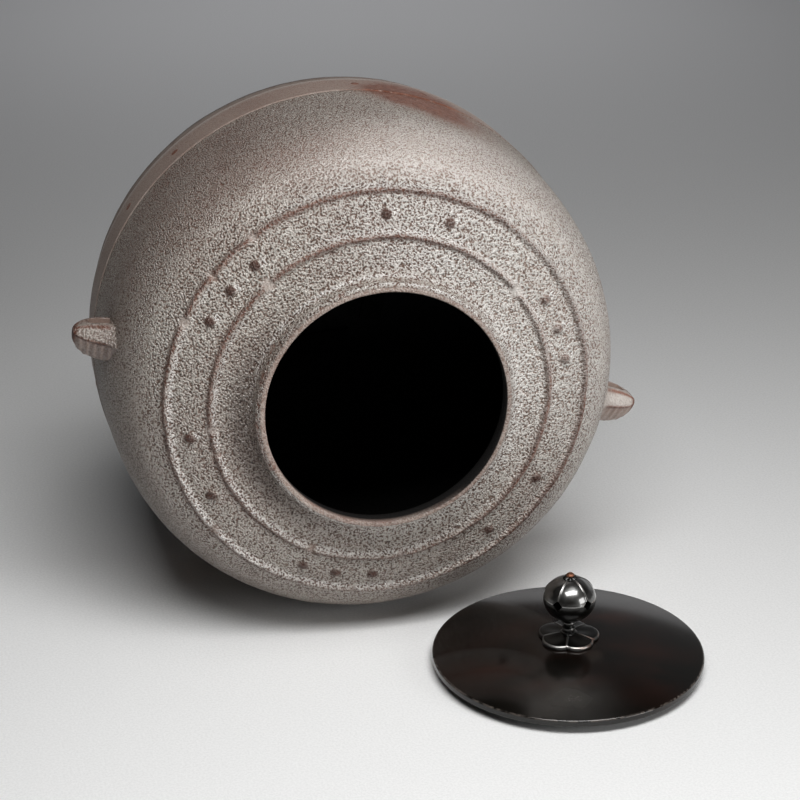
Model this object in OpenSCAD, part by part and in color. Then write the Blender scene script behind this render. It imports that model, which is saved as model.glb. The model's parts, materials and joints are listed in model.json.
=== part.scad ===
// Chagama, a cast-iron kettle for tea water, laid on its side with the mouth
// towards -Y and its bronze lid taken off and lying flat in front of it.
// Millimetres, +Z up, the floor is z = 0.
// The kettle is drawn upright in its own frame, with z = 0 at the waist plane
// and the lugs on its x axis, and is then rolled, laid down and set on its band.
// The lid is drawn in its own frame, standing on its locating ring at z = 0.

/* [Kettle shell] */
// Outside radius at the waist
waist_r = 120; // [105:1:135]
// Height of the shoulder's crown above the waist plane
shoulder_rise = 85; // [75:1:95]
// Fullness of the shoulder, 2 is an ellipse and more is squarer
shoulder_power = 4.1; // [3:0.1:5]
// Depth of the bottom's crown below the waist plane
bottom_drop = 82; // [70:1:95]
// Fullness of the bottom
bottom_power = 3.6; // [2.4:0.1:4]
// Part of the bottom's crown that is cut flat for the foot
foot_cut = 2; // [1:0.5:4]
// Wall of the upper casting
body_wall = 3.2; // [3:0.2:6]
// Wall of the lower casting
base_wall = 4.8; // [4:0.2:8]

/* [Mouth] */
// Inside radius of the mouth
mouth_r = 55; // [45:1:62]
// Height of the rim above the shoulder's crown
collar_rise = 8; // [6:0.5:14]
// Thickness of the collar round the mouth
collar_wall = 4; // [3:0.5:6]
// Radius of the hollow at the collar's foot
collar_fillet = 6; // [3:0.5:8]
// Width of the flat on top of the rim
rim_flat = 2.2; // [1:0.1:2.6]
// Height of the bevel outside that flat
rim_bevel = 2.8; // [1:0.1:3.5]
// Straight length of the mouth's bore
mouth_land = 9; // [5:0.5:11]

/* [Ridges and studs] */
// Radius of the raised ring nearer the mouth
inner_ridge_r = 77.5; // [72:0.5:80]
// Radius of the raised ring further out
outer_ridge_r = 96.5; // [93:0.5:102]
// Radius of the bead that forms each ring
ridge_bead_r = 1.3; // [0.8:0.1:2]
// Radius of a stud
stud_r = 1.9; // [1.2:0.1:2.5]
// Angle between neighbouring studs of a group of three
stud_step = 10.5; // [7:0.5:14]
// Angle from a lug to the nearest middle stud
stud_from_lug = 30; // [0:1:60]

/* [Waist band] */
// Drop from the waist plane to the band's upper edge
band_drop = 5; // [2:0.5:10]
// Width of the smooth band
band_w = 23; // [16:1:30]
// How far the band's upper edge stands out from the flank
band_proud = 0.5; // [0.3:0.1:1.5]
// Taper of the band, which is also how far the mouth looks up when it lies on it
band_taper = 2; // [1:0.1:3]
// Height of the spigot of the lower casting inside the upper one
spigot_h = 6; // [3:0.5:10]
// Wall of that spigot
spigot_wall = 2.5; // [1.5:0.5:4]
// Clearance round the spigot
spigot_gap = 0.2; // [0.1:0.05:0.4]

/* [Core chaplets] */
// Pairs of iron spacers that are left in the band by the casting
chaplet_pairs = 6; // [3:1:8]
// Angle between the two of a pair
chaplet_spread = 16; // [8:1:24]
// Radius of a chaplet
chaplet_r = 2.2; // [1.5:0.1:3]
// Depth of a chaplet in the wall
chaplet_depth = 2.6; // [1.5:0.1:2.8]
// How far a chaplet stands out of the band
chaplet_proud = 0.2; // [0.1:0.05:0.3]
// Clearance round a chaplet
chaplet_gap = 0.05; // [0.02:0.01:0.2]

/* [Lugs] */
// Height of the lugs above the waist plane
lug_rise = 38; // [25:1:48]
// How far a lug stands out from the flank
lug_reach = 17.5; // [14:0.5:24]
// Width of a lug at its root, along the waist
lug_w = 21.5; // [14:0.5:28]
// How far both lugs sit off the middle line, towards the floor that the kettle lies on
lug_droop = 2.2; // [0:0.1:4]
// Height of a lug at its root, along the kettle's axis
lug_h = 17; // [13:0.5:24]
// Length of the eye, from the flank outwards
eye_length = 12; // [9:0.5:13]
// Width of the eye
eye_w = 7; // [5:0.5:9]

/* [Sound plates] */
// Iron chips bedded inside the bottom
plate_count = 5; // [3:1:5]
// Length of a chip
plate_l = 26; // [18:1:30]
// Width of a chip
plate_w = 11; // [8:1:14]
// Thickness of a chip
plate_t = 1.6; // [1:0.1:3]
// Radius of the circle that the chips lie on
plate_circle_r = 30; // [26:1:34]
// Thickness of the lacquer beds under a chip's ends
dab_t = 1.2; // [0.6:0.1:2]
// Length of a lacquer bed
dab_l = 6; // [4:0.5:8]

/* [Lid] */
// How far the lid reaches past the mouth all round
lid_overhang = 7.5; // [5:0.5:14]
// Thickness of the lid's edge
lid_edge = 3; // [2:0.1:4]
// Rise of the lid's middle above its edge
lid_dome = 7.4; // [5:0.2:12]
// Thickness of the lid's plate
lid_wall = 3; // [2:0.1:4]
// Bevel on the upper corner of the edge
lid_bevel = 0.5; // [0.2:0.1:1]
// Depth of the locating ring under the edge
ring_drop = 4.2; // [3:0.2:7]
// Wall of the locating ring
ring_wall = 2.4; // [1.5:0.1:4]
// Clearance between the locating ring and the mouth
ring_gap = 0.8; // [0.4:0.1:1.5]

/* [Knob] */
// Radius of the hollow knob
knob_r = 12; // [10:0.5:14]
// Half height of the knob before its ends are cut flat
knob_half_h = 10.6; // [8:0.2:12]
// Cut at each end of the knob
knob_cut = 0.4; // [0.3:0.05:1]
// Wall of the knob
knob_wall = 1.2; // [0.8:0.1:1.6]
// Height of the knob's seam above its middle
seam_rise = 1.2; // [0:0.2:2]
// Number of petals, ribs and pierced lozenges
petal_count = 5; // [4:1:6]
// Half diagonal of a lozenge
lozenge_half = 2.5; // [1.5:0.1:3]
// Height of the ribs on the knob
rib_proud = 0.35; // [0.2:0.05:0.6]
// Angle that a rib covers
rib_angle = 3.4; // [2:0.2:6]
// Turn of the ribs from the front
rib_turn = 45; // [0:1:72]
// Length of the beaded neck under the knob
neck_l = 7.1; // [6:0.1:12]
// Radius of the upper, larger bead of the neck
neck_bead_r = 3; // [2.4:0.1:4]
// Radius of the neck between its beads
neck_waist_r = 2.3; // [2:0.1:2.8]
// Radius of the rosette on top
rosette_r = 3.4; // [2.8:0.1:4.5]
// Thickness of the rosette
rosette_t = 1.3; // [1:0.1:2.5]
// Number of lobes round the rosette
rosette_beads = 8; // [6:1:10]
// Radius of a lobe
rosette_bead_r = 0.9; // [0.6:0.1:1.1]

/* [Flower seat] */
// Distance from the middle to a petal's centre
petal_circle_r = 6.3; // [5.5:0.1:8]
// Radius of a petal
petal_r = 8; // [6:0.1:9]
// Height of the seat's middle above the lid
seat_h = 2.6; // [2:0.1:4]
// Fall of the seat's top from its middle to a petal's tip
seat_fall = 0.7; // [0.3:0.1:1.2]
// Height of the raised line between two petals
seat_rib_h = 0.5; // [0.3:0.1:1]
// Width of that line
seat_rib_w = 0.9; // [0.5:0.1:1.5]

/* [Knob pin] */
// Radius of the pin
pin_r = 1.5; // [1.2:0.1:1.8]
// Clearance round the pin
pin_gap = 0.1; // [0.05:0.01:0.2]
// Height of the hammered tip above the rosette
pin_tip_h = 1.6; // [1.2:0.1:3]
// Radius of the hammered ends
pin_head_r = 2; // [1.8:0.1:2.6]
// Radius of the washer under the lid
washer_r = 6; // [4.5:0.1:8]
// Thickness of the washer
washer_t = 1.2; // [0.8:0.1:2]

/* [Rest pose] */
// Roll of the kettle about its axis, from the lugs being level
kettle_roll = -12.5; // [-20:0.5:20]
// Distance from the rim to the lid's centre, away from the kettle
lid_forward = 29; // [22:1:60]
// Distance from the kettle's axis to the lid's centre
lid_side = 78.5; // [74:0.5:110]
// Turn of the lid about its knob
lid_turn = -17; // [-180:1:180]

/* [Hidden] */

// Facets of a round, from the large turned shells to the small beads
shell_fn = 180;
dome_fn = 360;
ball_fn = 96;
pin_fn = 48;
bead_fn = 24;
$fn = ball_fn;

iron = "dimgray";
dark_iron = "#3b3735";
rust = "#6b4030";
lacquer = "#241812";
bronze = "#2a2624";
gunmetal = "#4a4a4c";
copper = "#8a5038";

// Steps of the profiles' curves, in degrees
flank_step = 3;
arc_step = 15;
knob_step = 6;
// Overlap of a cutter past the face that it cuts
cut = 1;

// Outside of the shell, as a squared oval about the waist's centre.
// A point at angle a from the waist plane, inset by the wall t.
function oval(a, t = 0, power_up = shoulder_power, power_down = bottom_power) =
    let (b = (a < 0 ? bottom_drop : shoulder_rise) - t)
    let (n = a < 0 ? power_down : power_up)
    let (k = pow(pow(abs(cos(a)) / (waist_r - t), n) + pow(abs(sin(a)) / b, n), -1 / n))
    [k * cos(a), k * sin(a)];
// Height of the shoulder at radius r, and radius of the flank at height z
function shoulder_z(r, t = 0) =
    (shoulder_rise - t) * pow(1 - pow(r / (waist_r - t), shoulder_power), 1 / shoulder_power);
function flank_r(z, t = 0) =
    let (b = (z < 0 ? bottom_drop : shoulder_rise) - t)
    let (n = z < 0 ? bottom_power : shoulder_power)
    (waist_r - t) * pow(1 - pow(abs(z) / b, n), 1 / n);
// Points of the oval from angle a0 to angle a1
function oval_arc(a0, a1, t = 0) =
    let (steps = ceil(abs(a1 - a0) / flank_step))
    [for (i = [0 : steps]) oval(a0 + (a1 - a0) * i / steps, t)];
// Points of a circular arc
function arc(c, r, a0, a1) =
    let (steps = ceil(abs(a1 - a0) / arc_step))
    [for (i = [0 : steps]) c + r * [cos(a0 + (a1 - a0) * i / steps), sin(a0 + (a1 - a0) * i / steps)]];
function angle_of(r, z) = atan2(z, r);

// Rim, collar and shoulder
rim_z = shoulder_rise + collar_rise;
collar_r = mouth_r + collar_wall;
fillet = min(collar_fillet, rim_z - rim_bevel - shoulder_z(collar_r));
gutter_r = collar_r + fillet;
gutter_z = shoulder_z(gutter_r);
inner_join_r = mouth_r + body_wall;
inner_join_z = shoulder_z(inner_join_r, body_wall);
stud_circle_r = (inner_ridge_r + outer_ridge_r) / 2;

// Band, seam and foot
seam_z = -band_drop - band_w;
band_top_r = flank_r(-band_drop) + band_proud;
band_foot_r = band_top_r - band_w * tan(band_taper);
seam_in_r = flank_r(seam_z, body_wall);
seam_out_r = flank_r(seam_z);
foot_z = foot_cut - bottom_drop;
foot_r = flank_r(foot_z);
floor_z = foot_z + base_wall;
floor_r = flank_r(floor_z, base_wall);
chaplet_z = -band_drop - band_w / 2;
chaplet_out_r = band_top_r - band_w / 2 * tan(band_taper);

// Lugs
lug_root_r = flank_r(lug_rise);
lug_tip_r = lug_root_r + lug_reach;
eye_r = lug_root_r + eye_length - eye_w / 2;

// Sound plates
plate_z = floor_z + dab_t;

// Lid heights, from the floor that it lies on
lid_r = mouth_r + lid_overhang;
edge_z = ring_drop;
rim_top_z = edge_z + lid_edge;
dome_base_r = lid_r - lid_bevel;
dome_r = (dome_base_r * dome_base_r + lid_dome * lid_dome) / (2 * lid_dome);
apex_z = rim_top_z + lid_dome;
ring_r = mouth_r - ring_gap;
pad_z = apex_z - lid_wall;
pad_r = washer_r + pin_gap;
pad_sag = pad_r * pad_r / (2 * dome_r);
seat_top_z = apex_z + seat_h;
knob_z = seat_top_z + neck_l + knob_half_h - knob_cut;
knob_end = knob_half_h - knob_cut;
rosette_z = knob_z + knob_end;
tip_z = rosette_z + rosette_t;
pin_hole_r = pin_r + pin_gap;
petal_tip_r = petal_circle_r + petal_r;
seat_dome_r = (petal_tip_r * petal_tip_r + seat_fall * seat_fall) / (2 * seat_fall);

// Places on the floor. The kettle lies on its tapered band, so the taper is its pitch.
kettle_pitch = band_taper;
rest_z = band_top_r * cos(kettle_pitch) + band_drop * sin(kettle_pitch);
lid_x = lid_side;
lid_y = -rim_z * cos(kettle_pitch) - lid_forward;
// Middle of the space that kettle and lid cover, which is the origin
lug_x = lug_tip_r * cos(kettle_roll);
lug_lean_x = lug_droop * sin(kettle_roll);
left_x = lug_lean_x - lug_x;
right_x = max(lug_lean_x + lug_x, lid_x + lid_r);
front_y = lid_y - lid_r;
back_y = -foot_z * cos(kettle_pitch) + foot_r * sin(kettle_pitch);
middle = [(left_x + right_x) / 2, (front_y + back_y) / 2, 0];

module lay_kettle() {
    translate([0, 0, rest_z] - middle)
        rotate([90 - kettle_pitch, 0, 0])
            rotate([0, 0, kettle_roll])
                children();
}

module lay_lid() {
    translate([lid_x, lid_y, 0] - middle) rotate([0, 0, lid_turn]) children();
}

// Upper casting: band, flank, shoulder, gutter, collar and rim in one profile
module body_profile() {
    polygon(concat(
        [[seam_in_r, seam_z], [band_foot_r, seam_z], [band_top_r, -band_drop]],
        oval_arc(angle_of(flank_r(-band_drop), -band_drop), angle_of(gutter_r, gutter_z)),
        arc([gutter_r, gutter_z + fillet], fillet, 270, 180),
        [[collar_r, rim_z - rim_bevel], [mouth_r + rim_flat, rim_z], [mouth_r, rim_z]],
        [[mouth_r, rim_z - mouth_land]],
        oval_arc(angle_of(inner_join_r, inner_join_z), angle_of(seam_in_r, seam_z), body_wall)));
}

module ridge_bead(r) {
    translate([r, shoulder_z(r)]) circle(ridge_bead_r, $fn = bead_fn);
}

module stud(a) {
    rotate([0, 0, a])
        translate([stud_circle_r, 0, shoulder_z(stud_circle_r)])
            sphere(stud_r, $fn = bead_fn);
}

// Groups of three studs with groups of two between them, three of each
module studs() {
    for (turn = [0 : 120 : 240]) {
        for (i = [-1 : 1]) stud(stud_from_lug + turn + i * stud_step);
        for (i = [-1, 1]) stud(stud_from_lug + 60 + turn + i * stud_step);
    }
}

// A round peg let into the band from outside, at each chaplet's place
module chaplet_pegs(r, inner, outer) {
    for (i = [0 : chaplet_pairs - 1], side = [-1, 1])
        rotate([0, 0, stud_from_lug + 360 / chaplet_pairs * i + side * chaplet_spread / 2])
            translate([inner, 0, chaplet_z])
                rotate([0, 90, 0])
                    cylinder(r = r, h = outer - inner, $fn = pin_fn);
}

module kettle_body() {
    color(iron) lay_kettle() difference() {
        union() {
            rotate_extrude($fn = shell_fn) union() {
                body_profile();
                ridge_bead(inner_ridge_r);
                ridge_bead(outer_ridge_r);
            }
            studs();
        }
        chaplet_pegs(chaplet_r + chaplet_gap, chaplet_out_r - chaplet_depth, chaplet_out_r + cut);
    }
}

// Lower casting: a bowl with a flat foot, and a spigot that enters the upper one
module base_profile() {
    spigot_r = seam_in_r - spigot_gap;
    polygon(concat(
        [[0, foot_z]],
        oval_arc(angle_of(foot_r, foot_z), angle_of(seam_out_r, seam_z)),
        [[spigot_r, seam_z], [spigot_r, seam_z + spigot_h]],
        [[spigot_r - spigot_wall, seam_z + spigot_h], [spigot_r - spigot_wall, seam_z]],
        oval_arc(angle_of(flank_r(seam_z - spigot_h, base_wall), seam_z - spigot_h),
                 angle_of(floor_r, floor_z), base_wall),
        [[0, floor_z]]));
}

module base_pan() {
    color(dark_iron) lay_kettle() rotate_extrude($fn = shell_fn) base_profile();
}

module core_chaplets() {
    color(rust) lay_kettle()
        chaplet_pegs(chaplet_r, chaplet_out_r - chaplet_depth, chaplet_out_r + chaplet_proud);
}

// A beak-shaped lug along +x: rings of points that shrink from the root to the tip
lug_rings = 12;
lug_sides = 24;
lug_sink = 8;
// Shape of the beak: how late it closes, how round its tip is, how much it narrows
// and thins on the way out, and how square its section is
lug_hold = 2.6;
lug_roundness = 2.2;
lug_narrowing = 0.25;
lug_thinning = 0.15;
lug_squareness = 0.85;
function squared(v) = sign(v) * pow(abs(v), lug_squareness);
function lug_ring(i) =
    let (s = i / lug_rings)
    let (taper = pow(1 - pow(s, lug_hold), 1 / lug_roundness))
    let (w = lug_w / 2 * taper * (1 - lug_narrowing * s))
    let (h = lug_h / 2 * taper * (1 - lug_thinning * s))
    let (x = lug_root_r - lug_sink + s * (lug_reach + lug_sink))
    [for (j = [0 : lug_sides - 1])
        let (a = 360 * j / lug_sides)
        [x, w * squared(cos(a)), lug_rise + h * squared(sin(a))]];

module beak() {
    points = concat([for (i = [0 : lug_rings - 1]) each lug_ring(i)],
                    [[lug_tip_r, 0, lug_rise]]);
    last = lug_rings * lug_sides;
    sides = [for (i = [0 : lug_rings - 2], j = [0 : lug_sides - 1])
        let (a = i * lug_sides + j)
        let (b = i * lug_sides + (j + 1) % lug_sides)
        each [[a, a + lug_sides, b], [b, a + lug_sides, b + lug_sides]]];
    tip = [for (j = [0 : lug_sides - 1])
        [last - lug_sides + j, last, last - lug_sides + (j + 1) % lug_sides]];
    root = [[for (j = [0 : lug_sides - 1]) j]];
    polyhedron(points, concat(sides, tip, root));
}

// The eye for a carrying ring runs along the waist and is closed by the flank
module eye() {
    translate([eye_r, 0, lug_rise]) rotate([90, 0, 0])
        cylinder(d = eye_w, h = lug_w + 2 * cut, center = true, $fn = pin_fn);
    translate([lug_root_r - lug_sink, -lug_w / 2 - cut, lug_rise - eye_w / 2])
        cube([eye_r - lug_root_r + lug_sink, lug_w + 2 * cut, eye_w]);
}

module flank_cutter() {
    rotate_extrude($fn = shell_fn)
        polygon(concat([[0, 0]], oval_arc(0, angle_of(gutter_r, gutter_z)), [[0, gutter_z]]));
}

module lug(turn, shift) {
    difference() {
        rotate([0, 0, turn]) translate([0, shift, 0]) difference() {
            beak();
            eye();
        }
        flank_cutter();
    }
}

module lug_right() {
    color(iron) lay_kettle() lug(0, -lug_droop);
}

module lug_left() {
    color(iron) lay_kettle() lug(180, lug_droop);
}

// Chips of iron bedded on lacquer inside the bottom, which make the water sing
module sound_plate(i) {
    color(dark_iron) lay_kettle()
        rotate([0, 0, 360 / plate_count * i])
            translate([plate_circle_r, 0, plate_z + plate_t / 2])
                cube([plate_w, plate_l, plate_t], center = true);
}

module lacquer_beds() {
    color(lacquer) lay_kettle()
        for (i = [1 : plate_count], side = [-1, 1])
            rotate([0, 0, 360 / plate_count * i])
                translate([plate_circle_r, side * (plate_l - dab_l) / 2, floor_z + dab_t / 2])
                    cube([plate_w, dab_l, dab_t], center = true);
}

// Section of the lid: domed plate with a bevelled edge, a ring below and a flat pad
// for the washer in the middle
module lid_section() {
    difference() {
        union() {
            intersection() {
                translate([0, edge_z]) square([lid_r, apex_z]);
                translate([0, apex_z - dome_r]) circle(dome_r, $fn = dome_fn);
                polygon([[0, 0], [lid_r, 0], [lid_r, rim_top_z - lid_bevel],
                         [dome_base_r, rim_top_z], [0, apex_z + cut]]);
            }
            translate([ring_r - ring_wall, 0]) square([ring_wall, edge_z + lid_edge / 2]);
        }
        intersection() {
            square([ring_r - ring_wall, pad_z]);
            translate([0, pad_z + pad_sag - dome_r]) circle(dome_r, $fn = dome_fn);
        }
    }
}

module lid_plate() {
    color(bronze) lay_lid() difference() {
        rotate_extrude($fn = shell_fn) lid_section();
        cylinder(r = pin_hole_r, h = 2 * apex_z, $fn = pin_fn);
    }
}

// Plum-blossom washer: petals round a middle, domed on top, hollow below to fit the lid
module flower_outline() {
    for (i = [0 : petal_count - 1])
        rotate(360 / petal_count * (i + 0.5) - 90)
            translate([petal_circle_r, 0]) circle(petal_r, $fn = pin_fn);
    circle(petal_circle_r, $fn = pin_fn);
}

module seat_dome(rise) {
    translate([0, 0, seat_top_z + rise - seat_dome_r]) sphere(seat_dome_r, $fn = dome_fn);
}

module flower_seat() {
    color(gunmetal) lay_lid() difference() {
        union() {
            intersection() {
                translate([0, 0, apex_z - lid_edge]) linear_extrude(lid_edge + seat_h) flower_outline();
                seat_dome(0);
            }
            intersection() {
                for (i = [0 : petal_count - 1])
                    rotate([0, 0, 360 / petal_count * i - 90])
                        translate([0, -seat_rib_w / 2, apex_z - lid_edge])
                            cube([petal_tip_r, seat_rib_w, lid_edge + seat_h + seat_rib_h]);
                seat_dome(seat_rib_h);
                translate([0, 0, apex_z - lid_edge]) linear_extrude(lid_edge + 2 * seat_h) flower_outline();
            }
        }
        translate([0, 0, apex_z - dome_r]) sphere(dome_r, $fn = dome_fn);
        cylinder(r = pin_hole_r, h = 2 * seat_top_z, $fn = pin_fn);
        translate([0, 0, seat_top_z]) cylinder(r = neck_bead_r + cut, h = seat_h, $fn = pin_fn);
    }
}

// Neck of two beads over a small foot
module neck_section() {
    bead = neck_l / 4;
    difference() {
        union() {
            square([neck_waist_r, neck_l]);
            translate([neck_bead_r - bead, bead]) circle(bead, $fn = pin_fn);
            translate([neck_bead_r - bead, neck_l - bead]) circle(bead, $fn = pin_fn);
        }
        translate([-neck_bead_r, -cut]) square([neck_bead_r + pin_hole_r, neck_l + 2 * cut]);
    }
}

module knob_neck() {
    color(gunmetal) lay_lid()
        translate([0, 0, seat_top_z]) rotate_extrude($fn = pin_fn) neck_section();
}

// Half section of the knob's skin, offset by d and cut off at height low and high
function knob_skin(d, low, high) =
    let (a = knob_r + d)
    let (b = knob_half_h + d)
    let (a0 = asin(low / b))
    let (a1 = asin(high / b))
    let (steps = ceil((a1 - a0) / knob_step))
    [for (i = [0 : steps])
        let (t = a0 + (a1 - a0) * i / steps)
        [a * cos(t), b * sin(t)]];
function reversed(list) = [for (i = [len(list) - 1 : -1 : 0]) list[i]];

module knob_shell(low, high) {
    inner_low = max(low, knob_wall - knob_half_h + knob_cut);
    inner_high = min(high, knob_half_h - knob_wall - knob_cut);
    polygon(concat(
        knob_skin(0, low, high),
        high > inner_high ? [[pin_hole_r, high], [pin_hole_r, inner_high]] : [],
        reversed(knob_skin(-knob_wall, inner_low, inner_high)),
        low < inner_low ? [[pin_hole_r, inner_low], [pin_hole_r, low]] : []));
}

// Lozenges that are pierced where the ribs meet the seam
module lozenges() {
    for (i = [0 : petal_count - 1])
        rotate([0, 0, 360 / petal_count * i + rib_turn - 90])
            translate([0, 0, seam_rise]) rotate([45, 0, 0])
                translate([0, -lozenge_half * sqrt(0.5), -lozenge_half * sqrt(0.5)])
                    cube([knob_r + cut, lozenge_half * sqrt(2), lozenge_half * sqrt(2)]);
}

module knob_lower() {
    color(gunmetal) lay_lid() translate([0, 0, knob_z]) difference() {
        rotate_extrude($fn = ball_fn) knob_shell(-knob_end, seam_rise);
        lozenges();
    }
}

module knob_upper() {
    color(gunmetal) lay_lid() translate([0, 0, knob_z]) difference() {
        union() {
            rotate_extrude($fn = ball_fn) knob_shell(seam_rise, knob_end);
            for (i = [0 : petal_count - 1])
                rotate([0, 0, 360 / petal_count * i + rib_turn - 90 - rib_angle / 2])
                    rotate_extrude(angle = rib_angle, $fn = ball_fn)
                        polygon(concat(knob_skin(rib_proud, seam_rise, knob_end),
                                       reversed(knob_skin(-knob_wall / 2, seam_rise, knob_end))));
        }
        lozenges();
        translate([0, 0, knob_end]) cylinder(r = knob_r, h = knob_half_h);
    }
}

module rosette_outline() {
    circle(rosette_r - rosette_bead_r, $fn = pin_fn);
    for (i = [0 : rosette_beads - 1])
        rotate(360 / rosette_beads * i)
            translate([rosette_r - rosette_bead_r, 0]) circle(rosette_bead_r, $fn = bead_fn);
}

module knob_rosette() {
    color(gunmetal) lay_lid() translate([0, 0, rosette_z]) difference() {
        linear_extrude(rosette_t) rosette_outline();
        translate([0, 0, -cut]) cylinder(r = pin_hole_r, h = rosette_t + 2 * cut, $fn = pin_fn);
    }
}

// Pin that holds the knob: a shank with a hammered tip and a hammered tail
module knob_pin() {
    tail_z = pad_z - washer_t;
    color(copper) lay_lid() union() {
        translate([0, 0, tail_z]) cylinder(r = pin_r, h = tip_z - tail_z, $fn = pin_fn);
        translate([0, 0, tip_z])
            cylinder(r1 = pin_head_r, r2 = pin_head_r / 2, h = pin_tip_h, $fn = pin_fn);
        translate([0, 0, tail_z - washer_t])
            cylinder(r1 = pin_r, r2 = pin_head_r, h = washer_t, $fn = pin_fn);
    }
}

module pin_washer() {
    color(bronze) lay_lid() translate([0, 0, pad_z - washer_t]) difference() {
        cylinder(r = washer_r, h = washer_t, $fn = pin_fn);
        translate([0, 0, -cut]) cylinder(r = pin_hole_r, h = washer_t + 2 * cut, $fn = pin_fn);
    }
}

kettle_body();
base_pan();
lug_left();
lug_right();
core_chaplets();
for (i = [1 : plate_count])
    sound_plate(i);
lacquer_beds();
lid_plate();
flower_seat();
knob_neck();
knob_lower();
knob_upper();
knob_rosette();
knob_pin();
pin_washer();
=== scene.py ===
"""Looks of a chagama kettle that lies on its side beside its bronze lid.

Lengths of the object are millimetres until they reach a mesh, and angles are degrees.
The camera, the lamps and the floor are in metres.
A clock angle runs round the kettle as seen from its mouth: 0 is right, 90 is up.
"""

import json
import math

import bmesh
import bpy
import numpy as np
from mathutils import Matrix, Vector, noise


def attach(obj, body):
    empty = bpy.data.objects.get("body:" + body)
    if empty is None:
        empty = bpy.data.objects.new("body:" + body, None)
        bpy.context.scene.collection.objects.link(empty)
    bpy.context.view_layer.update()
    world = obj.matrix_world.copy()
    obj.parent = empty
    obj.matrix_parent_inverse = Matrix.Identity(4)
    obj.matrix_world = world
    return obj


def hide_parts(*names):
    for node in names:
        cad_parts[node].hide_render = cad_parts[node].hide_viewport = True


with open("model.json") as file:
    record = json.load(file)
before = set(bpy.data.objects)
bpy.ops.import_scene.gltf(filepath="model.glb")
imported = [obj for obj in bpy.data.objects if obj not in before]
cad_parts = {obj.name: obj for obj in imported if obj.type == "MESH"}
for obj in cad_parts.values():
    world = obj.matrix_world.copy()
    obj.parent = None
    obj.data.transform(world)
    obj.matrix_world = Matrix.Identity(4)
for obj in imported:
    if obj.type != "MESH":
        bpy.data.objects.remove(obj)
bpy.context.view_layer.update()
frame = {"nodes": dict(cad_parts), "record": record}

MM = 0.001

# Kettle, as in the solids
WAIST_R = 120.0
SHOULDER_RISE = 85.0
SHOULDER_POWER = 4.1
BOTTOM_DROP = 82.0
BOTTOM_POWER = 3.6
FOOT_CUT = 2.0
BODY_WALL = 3.2
BASE_WALL = 4.8
MOUTH_R = 55.0
COLLAR_RISE = 8.0
COLLAR_WALL = 4.0
COLLAR_FILLET = 6.0
RIM_FLAT = 2.2
RIM_BEVEL = 2.8
MOUTH_LAND = 9.0
INNER_RIDGE_R = 77.5
OUTER_RIDGE_R = 96.5
BAND_DROP = 5.0
BAND_W = 23.0
BAND_PROUD = 0.5
BAND_TAPER = 2.0
CHAPLET_R = 2.2
SPIGOT_GAP = 0.2
LUG_RISE = 38.0
LUG_REACH = 17.5
KETTLE_ROLL = -12.5

RIM_Z = SHOULDER_RISE + COLLAR_RISE
SEAM_Z = -BAND_DROP - BAND_W

# Lid, as in the solids
LID_R = 62.5
LID_EDGE = 3.0
LID_DOME = 7.4
LID_WALL = 3.0
LID_BEVEL = 0.5
RING_DROP = 4.2
RING_WALL = 2.4
RING_R = 54.2
RIM_TOP_Z = RING_DROP + LID_EDGE
APEX_Z = RIM_TOP_Z + LID_DOME
DOME_BASE_R = LID_R - LID_BEVEL
DOME_R = (DOME_BASE_R ** 2 + LID_DOME ** 2) / (2 * LID_DOME)
PIN_HOLE_R = 1.6

mounts = {m["name"]: m for m in frame["record"]["mounts"]}
mouth_axis = Vector(mounts["mouth"]["axis"]).normalized()
right = Vector((1, 0, 0))
up = mouth_axis.cross(right)
waist_centre = Vector(mounts["mouth"]["pos_m"]) - mouth_axis * (RIM_Z - MOUTH_LAND / 2) * MM
KETTLE = Matrix((right, up, mouth_axis)).transposed().to_4x4()
KETTLE.translation = waist_centre
LID = Matrix.Translation(Vector((*mounts["lid_ring"]["pos_m"][:2], 0)))

# Photo's camera: its place, where it looks and how long its lens is
PHOTO_PIXELS = 800
FOCAL_PIXELS = 2600
SENSOR_MM = 36.0
CAMERA_AT = Vector((-0.22726, -1.07342, 0.6008))
CAMERA_FORWARD = Vector((0.19810, 0.89100, -0.40851))


def flank_r(z, t=0.0):
    """Outside radius at height z, inset by t."""
    b = (BOTTOM_DROP if z < 0 else SHOULDER_RISE) - t
    n = BOTTOM_POWER if z < 0 else SHOULDER_POWER
    return (WAIST_R - t) * (1 - (abs(z) / b) ** n) ** (1 / n)


def shoulder_z(r, t=0.0):
    """Height of the shoulder at radius r, inset by t."""
    return (SHOULDER_RISE - t) * (1 - (r / (WAIST_R - t)) ** SHOULDER_POWER) ** (1 / SHOULDER_POWER)


def oval_arc(start, end, t=0.0, steps=60):
    """Points of the squared oval between two (r, z) points."""
    points = []
    a0, a1 = math.atan2(start[1], start[0]), math.atan2(end[1], end[0])
    for a in np.linspace(a0, a1, steps):
        b = (BOTTOM_DROP if a < 0 else SHOULDER_RISE) - t
        n = BOTTOM_POWER if a < 0 else SHOULDER_POWER
        k = ((abs(math.cos(a)) / (WAIST_R - t)) ** n + (abs(math.sin(a)) / b) ** n) ** (-1 / n)
        points.append((k * math.cos(a), k * math.sin(a)))
    return points


def arc(centre, radius, a0, a1, steps=12):
    """Points of a circular arc."""
    return [(centre[0] + radius * math.cos(math.radians(a)), centre[1] + radius * math.sin(math.radians(a)))
            for a in np.linspace(a0, a1, steps)]


def resample(points, spacing):
    """A closed outline's points at an even spacing of about that length."""
    p = np.array(points + points[:1], float)
    along = np.concatenate([[0], np.cumsum(np.hypot(*np.diff(p, axis=0).T))])
    at = np.linspace(0, along[-1], max(8, int(along[-1] / spacing)), endpoint=False)
    return np.column_stack([np.interp(at, along, p[:, i]) for i in (0, 1)])


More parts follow.
